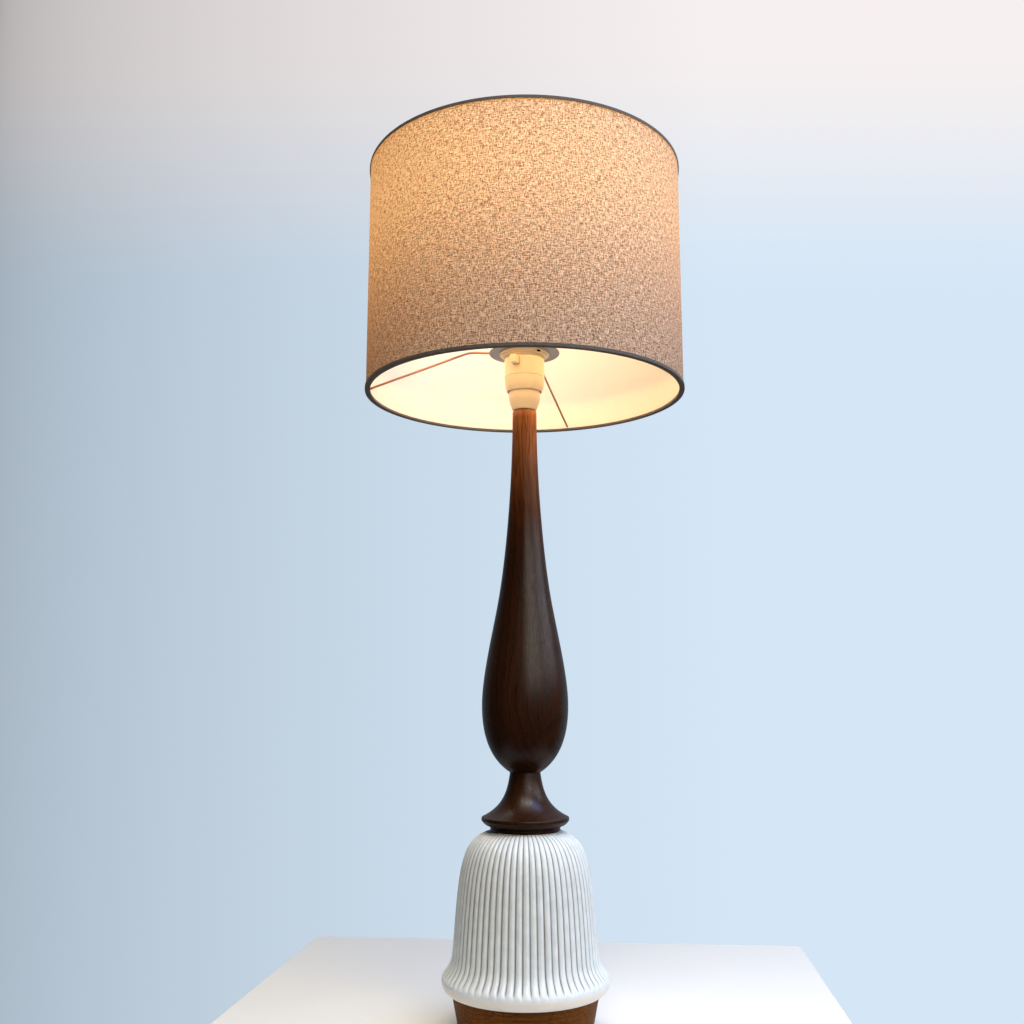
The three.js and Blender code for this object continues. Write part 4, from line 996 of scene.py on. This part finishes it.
class LAMP_OT_fitting(bpy.types.Operator):
    """Make the shade fitting: reducer ring with its lug, carrier disc and scalloped shade ring"""

    bl_idname = "lamp.fitting"
    bl_label = "Shade Fitting"

    bore = 14.45 * MM
    reducer_step = 20.7 * MM
    reducer_height = 2.5 * MM
    # The lug on the reducer ring, and the blind hole in its end.
    lug_azimuth = 304
    lug_start = 21.6 * MM
    lug_end = 23.5 * MM
    lug_half = 2.25 * MM
    lug_bore = 0.9 * MM
    lug_hole_bottom = 21.8 * MM
    lug_drop = 1.1 * MM
    columns = 144

    def reducer(self):
        high = HIGH["reducer_ring"]
        base, top = high.z - self.reducer_height, high.z - 1 * MM
        outline = eased([
            (self.bore, base), (high.x, base), (high.x, top), (self.reducer_step, top),
            (self.reducer_step, high.z), (self.bore, high.z),
        ], 0.3 * MM, steps=3)
        across = oblong(self.lug_start, self.lug_end, -self.lug_half, self.lug_half)
        lug = bevelled(extruded("lug", across, base - 2.2 * MM, top - 0.2 * MM), 0.35 * MM)
        hole = rod("lug_hole", self.lug_bore, self.lug_hole_bottom, 30 * MM, sides=16)
        worked(lug, [moved(hole, about("Y", 90), Matrix.Translation((0, 0, base - self.lug_drop)))])
        moved(lug, about("Z", self.lug_azimuth))
        return worked(turned("moulded_reducer_ring", outline), [lug], "UNION")

    def paint_lug_bore_shade(self, reducer):
        """Paints shade into the bore of the lug: its faces get a near-black metal finish as painted shade.
        """
        dark = worked_metal("Painted Shade in Lug Bore", hex_colour("1a1816"), 0.6, 0.4 * MM)
        reducer.data.materials.append(dark)
        back = about("Z", -self.lug_azimuth)
        middle = HIGH["reducer_ring"].z - self.reducer_height - self.lug_drop
        # The faces inside the hole take the near-black finish, as painted shade in the hole.
        for face in reducer.data.polygons:
            x, y, z = back @ face.center
            if x > self.lug_start + 0.1 * MM and math.hypot(y, z - middle) < self.lug_bore:
                face.material_index = 1

    def carrier(self):
        low, high = LOW["shade_carrier"], HIGH["shade_carrier"]
        return turned("pressed_carrier", eased(oblong(21 * MM, high.x, low.z, high.z), 0.35 * MM, steps=3))

    def ring(self):
        low, high = LOW["shade_ring"], HIGH["shade_ring"]
        flange, grip = low.z + 1.8 * MM, 18.2 * MM
        outline = eased([
            (self.bore, low.z), (high.x, low.z), (high.x, low.z + 1.1 * MM), (high.x - 0.9 * MM, flange),
            (grip, flange), (grip, high.z), (self.bore, high.z),
        ], 0.4 * MM, steps=3)

        def scallops(i, k, radius, height):
            """Twelve dents round the part above the flange, for the fingers."""
            angle = 2 * math.pi * k / self.columns
            dent = 0.35 * MM * (1 - math.cos(12 * angle))
            return angle, radius - (dent if height > flange and radius > 17 * MM else 0)

        return turned("moulded_shade_ring", outline, sides=self.columns, relief=scallops)

    def execute(self, context):
        lamp = context.scene.table_lamp
        urea = moulded_urea(lamp.holder)
        steel = worked_metal("Zinc-plated Pressed Steel", lamp.holder.zinc, 0.42, 2 * MM)
        self.paint_lug_bore_shade(dress(self.reducer(), urea, "shade", "white_plastic", "reducer_ring"))
        dress(self.carrier(), steel, "shade", "zinc_steel", "shade_carrier")
        dress(self.ring(), urea, "shade_ring", "white_plastic", "shade_ring")
        return {"FINISHED"}


# ---------------------------------------------------------------- bulb


class LAMP_OT_bulb(bpy.types.Operator):
    """Make the lit bulb: blown glass and a rolled cap with its two pins"""

    bl_idname = "lamp.bulb"
    bl_label = "Bulb"

    glass = 1 * MM
    neck_radius = 10 * MM
    cap_radius = 11 * MM
    cap_inside = 10.5 * MM
    pin_azimuth = 38
    pin_end = 13.3 * MM
    pin_height = 7.2 * MM

    def wall(self, inset):
        """The outline of the glass from its mouth to the top of its dome, moved in by the inset."""
        low, high = LOW["bulb_glass"], HIGH["bulb_glass"]
        neck, centre = HIGH["bulb_cap"].z + 2 * MM, high.z - high.x
        mouth, radius = self.neck_radius - inset, high.x - inset
        points = [(mouth, low.z), (mouth, neck)]
        points += curve((mouth, neck), (mouth, neck + 14 * MM), (radius, centre - 24 * MM),
                        (radius, centre), 24)
        points += [(radius * math.cos(i * math.pi / 40), centre + radius * math.sin(i * math.pi / 40))
                   for i in range(1, 20)]
        return points + [(0, centre + radius)]

    def cap(self):
        low, high = LOW["bulb_cap"], HIGH["bulb_cap"]
        radius, inside = self.cap_radius, self.cap_inside
        outline = [(inside, low.z), (radius - 0.4 * MM, low.z), (radius, low.z + 0.4 * MM),
                   (radius, high.z - 2.4 * MM), (radius - 0.25 * MM, high.z - 2 * MM),
                   (radius - 0.25 * MM, high.z - 1.2 * MM), (radius, high.z - 0.8 * MM),
                   (radius - 0.1 * MM, high.z), (inside, high.z)]
        pins = []
        for turn in (self.pin_azimuth, self.pin_azimuth + 180):
            pin = turned("pin", eased(oblong(0, 1 * MM, inside, self.pin_end), 0.3 * MM), sides=24)
            lift = Matrix.Translation((0, 0, low.z + self.pin_height))
            pins.append(moved(pin, about("Y", 90), lift, about("Z", turn)))
        return worked(turned("rolled_bulb_cap", outline), pins, "UNION")

    def execute(self, context):
        lamp = context.scene.table_lamp
        opal = lit_opal_glass(lamp.bulb, LOW["bulb_glass"].z, HIGH["bulb_glass"].z)
        glass = turned("blown_bulb_glass", self.wall(0) + self.wall(self.glass)[::-1])
        dress(glass, opal, "bulb", "opal_glass", "bulb_glass")
        rolled = worked_metal("Rolled Aluminium", lamp.holder.aluminium, 0.32, 0.8 * MM)
        dress(self.cap(), rolled, "bulb", "bulb_aluminium", "bulb_cap")
        refinish(moulded_rubber(lamp.base), "bulb_insulator")
        return {"FINISHED"}


# ---------------------------------------------------------------- shade


class LAMP_OT_frame(bpy.types.Operator):
    """Make the shade's wire frame: two rims and three arms"""

    bl_idname = "lamp.frame"
    bl_label = "Shade Frame"

    azimuths = (71, 183, 307)
    # Radii of the wire of the arms and of the rims.
    wire = 1.1 * MM
    rim = 0.9 * MM
    # The radius where an arm bends down, how far from there the bend reaches, and its curve's pull.
    corner = 52.4 * MM
    bend = 5 * MM
    pull = 1.6 * MM

    def rim_wire(self, name, reach, height):
        angles = [i * math.pi / 5 for i in range(10)]
        section = [(reach + self.rim * math.cos(a), height + self.rim * math.sin(a)) for a in angles]
        return turned("drawn_%s_rim" % name, section, sides=160)

    def arm_path(self, reach, rim_height):
        """The line of an arm in the XZ plane: level from the carrier, bent, and down to the rim."""
        level = (LOW["shade_carrier"].z + HIGH["shade_carrier"].z) / 2
        start, corner = HIGH["shade_carrier"].x + SEAT, self.corner
        landing = rim_height + self.rim + 0.3 * MM + self.wire
        slope = Vector((reach - corner, landing - level)).normalized()
        before = (corner - self.bend, level)
        after = (corner + self.bend * slope.x, level + self.bend * slope.y)
        rounded = curve(before, (corner - self.pull, level),
                        (corner + self.pull * slope.x, level + self.pull * slope.y), after, 10)
        tip = (reach - 0.4 * MM * slope.x, landing - 0.4 * MM * slope.y)
        line = [(start, level), (start + 0.4 * MM, level), before, *rounded, tip, (reach, landing)]
        return [Vector((x, 0, z)) for x, z in line]

    def execute(self, context):
        lamp = context.scene.table_lamp
        copper = worked_metal("Copper-washed Drawn Wire", lamp.holder.copper_wash, 0.38, 3 * MM)
        reach = HIGH["bottom_rim_wire"].x - self.rim
        heights = {name: (LOW[name + "_rim_wire"].z + HIGH[name + "_rim_wire"].z) / 2
                   for name in ("bottom", "top")}
        for name, height in heights.items():
            dress(self.rim_wire(name, reach, height), copper, "shade", "painted_wire", name + "_rim_wire")
        path = self.arm_path(reach, heights["bottom"])
        radii = [0.75 * self.wire] + [self.wire] * (len(path) - 2) + [0.75 * self.wire]
        for i, azimuth in enumerate(self.azimuths, 1):
            arm = moved(swept("drawn_arm_%d" % i, path, radii), about("Z", azimuth))
            dress(arm, copper, "shade", "painted_wire", "carrier_arm_%d" % i)
        return {"FINISHED"}


class LAMP_OT_shade(bpy.types.Operator):
    """Make the drum shade: lining, linen with its glued lap, and the tapes round the rims"""

    bl_idname = "lamp.shade"
    bl_label = "Drum Shade"

    lap_azimuth = 138
    columns = 256
    liner_inside = 147.9 * MM
    # The folded tape: its inner radius, its thickness, and the length of its inner leg.
    tape_inside = 145.1 * MM
    tape = 0.5 * MM
    tape_fold = 2.2 * MM

    def linen(self, shade):
        """The linen, wrapped once round the lining, with its last stretch glued over its first."""
        low, high = LOW["shade_fabric"].z, HIGH["shade_fabric"].z
        under = HIGH["shade_liner"].x + SEAT
        over = under + shade.cloth + SEAT
        girth = 2 * math.pi * (under + shade.cloth / 2)
        full = girth + shade.lap
        climb = 2 * shade.lap
        verts, uvs = [], []
        for i in range(self.columns + 1):
            run = full * i / self.columns
            share = min(1.0, max(0.0, (run - (girth - climb)) / (0.8 * climb)))
            inner = under + (over - under) * share * share * (3 - 2 * share)
            angle = math.radians(self.lap_azimuth) + run / girth * 2 * math.pi
            for radius, height in oblong(inner, inner + shade.cloth, low, high):
                verts.append((radius * math.cos(angle), radius * math.sin(angle), height))
                uvs.append((run, height))
        faces = [(0, 1, 2, 3), tuple(4 * self.columns + c for c in (3, 2, 1, 0))]
        for i in range(self.columns):
            for c in range(4):
                n = (c + 1) % 4
                faces.append((4 * i + c, 4 * i + n, 4 * i + 4 + n, 4 * i + 4 + c))
        cloth = mesh_object("wrapped_linen", verts, faces)
        layer = cloth.data.uv_layers.new(name="cloth")
        for loop in cloth.data.loops:
            layer.data[loop.index].uv = uvs[loop.vertex_index]
        dress(cloth, slub_linen(shade, HIGH["shade_fabric"].x), "shade", "linen", "shade_fabric")

    def lining(self, shade):
        low, high = LOW["shade_liner"], HIGH["shade_liner"]
        outline = eased(oblong(self.liner_inside, high.x, low.z, high.z), 0.1 * MM, steps=2)
        sheet = turned("wrapped_lining", outline, sides=192)
        dress(sheet, laminate_lining(shade), "shade", "shade_lining", "shade_liner")

    def tapes(self, shade):
        cotton = cotton_tape(shade)
        inner, thick, fold = self.tape_inside, self.tape, self.tape_fold
        for name, flip in (("bottom_trim", 1), ("top_trim", -1)):
            low, high = LOW[name], HIGH[name]
            outer, tall = high.x, high.z - low.z
            rim = low.z if flip > 0 else high.z
            profile = [(inner, 0), (outer, 0), (outer, tall), (outer - thick, tall),
                       (outer - thick, thick), (inner + thick, thick), (inner + thick, fold), (inner, fold)]
            outline = eased([(radius, rim + flip * rise) for radius, rise in profile], 0.25 * MM, steps=2)
            dress(turned("folded_" + name, outline, sides=192), cotton, "shade", "trim_tape", name)

    def execute(self, context):
        shade = context.scene.table_lamp.shade
        self.lining(shade)
        self.linen(shade)
        self.tapes(shade)
        return {"FINISHED"}


# ---------------------------------------------------------------- stage


class LAMP_OT_stage(bpy.types.Operator):
    """Set the camera, the lights, the pale floor and the wall"""

    bl_idname = "lamp.stage"
    bl_label = "Stage"

    sensor = 36
    aim = (0, 0, 0.4)
    distance = 2.2
    # Name, azimuth from the front and elevation in degrees, size in metres, watts and colour.
    lights = (
        ("key", 26, 21, (1.79, 0.75), 16.5, "fff6e8"),
        ("side", 80, 21, (1.86, 0.75), 15.0, "f0f6ff"),
        ("front", 8, 57, (1.6, 0.8), 34.0, "fff6e5"),
        ("window", 70, 57, (1.6, 0.8), 26.5, "93c1ff"),
        ("back", 195, 60, (1.6, 0.8), 20.0, "fffcee"),
    )
    # Discs of light at the mouth of the shade. The first shines down on the lamp and the second up into the
    # shade. Name, height, height of the point that it faces, watts and colour.
    discs = (("mouth", 0.602, 0, 0.27, "ffc885"), ("bounce", 0.546, 1, 0.08, "ffe8cc"))
    disc_size = 0.26
    # Corners of the floor from above, and the distance, half width and heights of the wall.
    floor_corners = ((0.321, 0.316), (0.271, -0.16), (-0.3, -0.16), (-0.245, 0.366))
    wall_place = (0.8, 2, -1, 2)

    def execute(self, context):
        stage = context.scene.table_lamp.stage
        self.camera(stage)
        for name, azimuth, elevation, size, power, tint in self.lights:
            turn, tilt = math.radians(azimuth), math.radians(elevation)
            across = self.distance * math.cos(tilt)
            place = (across * math.sin(turn), -across * math.cos(turn),
                     self.aim[2] + self.distance * math.sin(tilt))
            self.light(name, place, self.aim, size, power, tint)
        for name, height, faced, power, tint in self.discs:
            size = (self.disc_size, self.disc_size)
            self.light(name, (0, 0, height), (0, 0, faced), size, power, tint).shape = "DISK"
        self.world(stage)
        self.floor(stage)
        self.wall(stage)
        return {"FINISHED"}

    def camera(self, stage):
        scene = bpy.context.scene
        camera = bpy.data.objects.new("camera", bpy.data.cameras.new("camera"))
        camera.data.lens, camera.data.sensor_width = stage.lens, self.sensor
        camera.location = stage.eye
        camera.rotation_euler = (math.pi / 2 + stage.pitch, 0, 0)
        scene.collection.objects.link(camera)
        scene.camera = camera
        scene.view_settings.view_transform = "Standard"

    def light(self, name, place, aim, size, power, tint):
        """An area light at a place, turned to face its aim and hidden from the camera."""
        lamp = bpy.data.lights.new(name, "AREA")
        lamp.shape, lamp.energy, lamp.color = "RECTANGLE", power, hex_colour(tint)
        lamp.size, lamp.size_y = size
        obj = bpy.data.objects.new(name, lamp)
        obj.visible_camera = False
        obj.location = place
        obj.rotation_euler = (Vector(aim) - Vector(place)).to_track_quat("-Z", "Y").to_euler()
        bpy.context.scene.collection.objects.link(obj)
        return lamp

    def world(self, stage):
        """A plain room: pale to look at, with little light of its own."""
        world = bpy.data.worlds.new("Plain Room")
        world.use_nodes = True
        tree = world.node_tree
        tree.nodes.clear()
        seen = add(tree, "LightPath").outputs["Is Camera Ray"]
        room = add(tree, "Background", {"Color": mix(tree, seen, rgba(stage.room), rgba(stage.wall))})
        add(tree, "OutputWorld", {"Surface": room.outputs[0]})
        bpy.context.scene.world = world

    def floor(self, stage):
        """A slab of stone, honed and unpolished, faintly clouded."""
        finish, tree, place = start_finish("Honed Pale Stone")
        tint = shaded(tree, noise(tree, place, 60 * MM, 4.0), stage.floor, 0.94)
        end_finish(finish, {"Base Color": tint, "Roughness": 0.45, "IOR": 1.5})
        floor = bevelled(extruded("stone_floor", self.floor_corners, -30 * MM, 0), 1 * MM)
        floor.data.materials.append(finish)

    def wall(self, stage):
        """A painted wall that shows from the front and lets a view from behind through. Its colour holds
        painted light: darker to the left and brighter to the right, as a window lights it, and warmer
        towards the top, as the lamp lights it.
        """
        finish, tree, place = start_finish("Painted Wall")
        where = add(tree, "SeparateXYZ", {0: place}).outputs
        # Painted light: darker to the left and brighter to the right, as a window lights it, and a warm wash
        # towards the top, as the lamp lights it.
        across = calculate(tree, "POWER", remap(tree, where["X"], -0.95, 0.35), 0.5)
        cool = shaded(tree, across, stage.wall, 0.56, 1.22)
        warm = shaded(tree, across, stage.wash, 0.46)
        risen = remap(tree, where["Z"], 0.95, 1.45, interpolation_type="SMOOTHSTEP")
        path = add(tree, "LightPath").outputs
        level = remap(tree, path["Is Camera Ray"], 0.0, 1.0, 0.4)
        paint = add(tree, "Emission", {"Color": mix(tree, risen, cool, warm), "Strength": level})
        seen = calculate(tree, "MAXIMUM", path["Is Camera Ray"], path["Is Glossy Ray"])
        shown = calculate(tree, "MAXIMUM", seen, path["Is Transmission Ray"])
        front = calculate(tree, "SUBTRACT", 1.0, add(tree, "NewGeometry").outputs["Backfacing"])
        surface = add(tree, "MixShader", {
            0: calculate(tree, "MULTIPLY", front, shown),
            1: add(tree, "BsdfTransparent").outputs[0], 2: paint.outputs[0],
        }).outputs[0]
        add(tree, "OutputMaterial", {"Surface": surface})
        distance, half, low, high = self.wall_place
        corners = [(x, distance, z) for x, z in oblong(-half, half, low, high)]
        mesh = bpy.data.meshes.new("painted_wall")
        mesh.from_pydata(corners, [], [(0, 1, 2, 3)])
        mesh.materials.append(finish)
        wall = bpy.data.objects.new("painted_wall", mesh)
        bpy.context.scene.collection.objects.link(wall)


# ---------------------------------------------------------------- sidebar


OPERATORS = (
    LAMP_OT_stage, LAMP_OT_base, LAMP_OT_bell, LAMP_OT_stem, LAMP_OT_holder, LAMP_OT_fitting,
    LAMP_OT_bulb, LAMP_OT_frame, LAMP_OT_shade,
)


class LAMP_PT_sidebar(bpy.types.Panel):
    """The lamp's pieces and their settings"""

    bl_idname = "LAMP_PT_sidebar"
    bl_label = "Table Lamp"
    bl_space_type = "VIEW_3D"
    bl_region_type = "UI"
    bl_category = "Table Lamp"

    def draw(self, context):
        lamp = context.scene.table_lamp
        for operator in OPERATORS:
            self.layout.operator(operator.bl_idname)
        for part in ("base", "bell", "stem", "holder", "bulb", "shade", "stage"):
            box = self.layout.box()
            box.label(text=part.title())
            group = getattr(lamp, part)
            for prop in group.__annotations__:
                box.prop(group, prop)


CLASSES = (
    BaseSettings, BellSettings, StemSettings, HolderSettings, BulbSettings, ShadeSettings,
    StageSettings, LampSettings, *OPERATORS, LAMP_PT_sidebar,
)


def register():
    for cls in CLASSES:
        bpy.utils.register_class(cls)
    bpy.types.Scene.table_lamp = PointerProperty(type=LampSettings)


def unregister():
    del bpy.types.Scene.table_lamp
    for cls in reversed(CLASSES):
        bpy.utils.unregister_class(cls)


def main():
    register()
    bpy.ops.lamp.stage()
    bpy.ops.lamp.base()
    bpy.ops.lamp.bell()
    bpy.ops.lamp.stem()
    bpy.ops.lamp.holder()
    bpy.ops.lamp.fitting()
    bpy.ops.lamp.bulb()
    bpy.ops.lamp.frame()
    bpy.ops.lamp.shade()


if __name__ == "__main__":
    main()
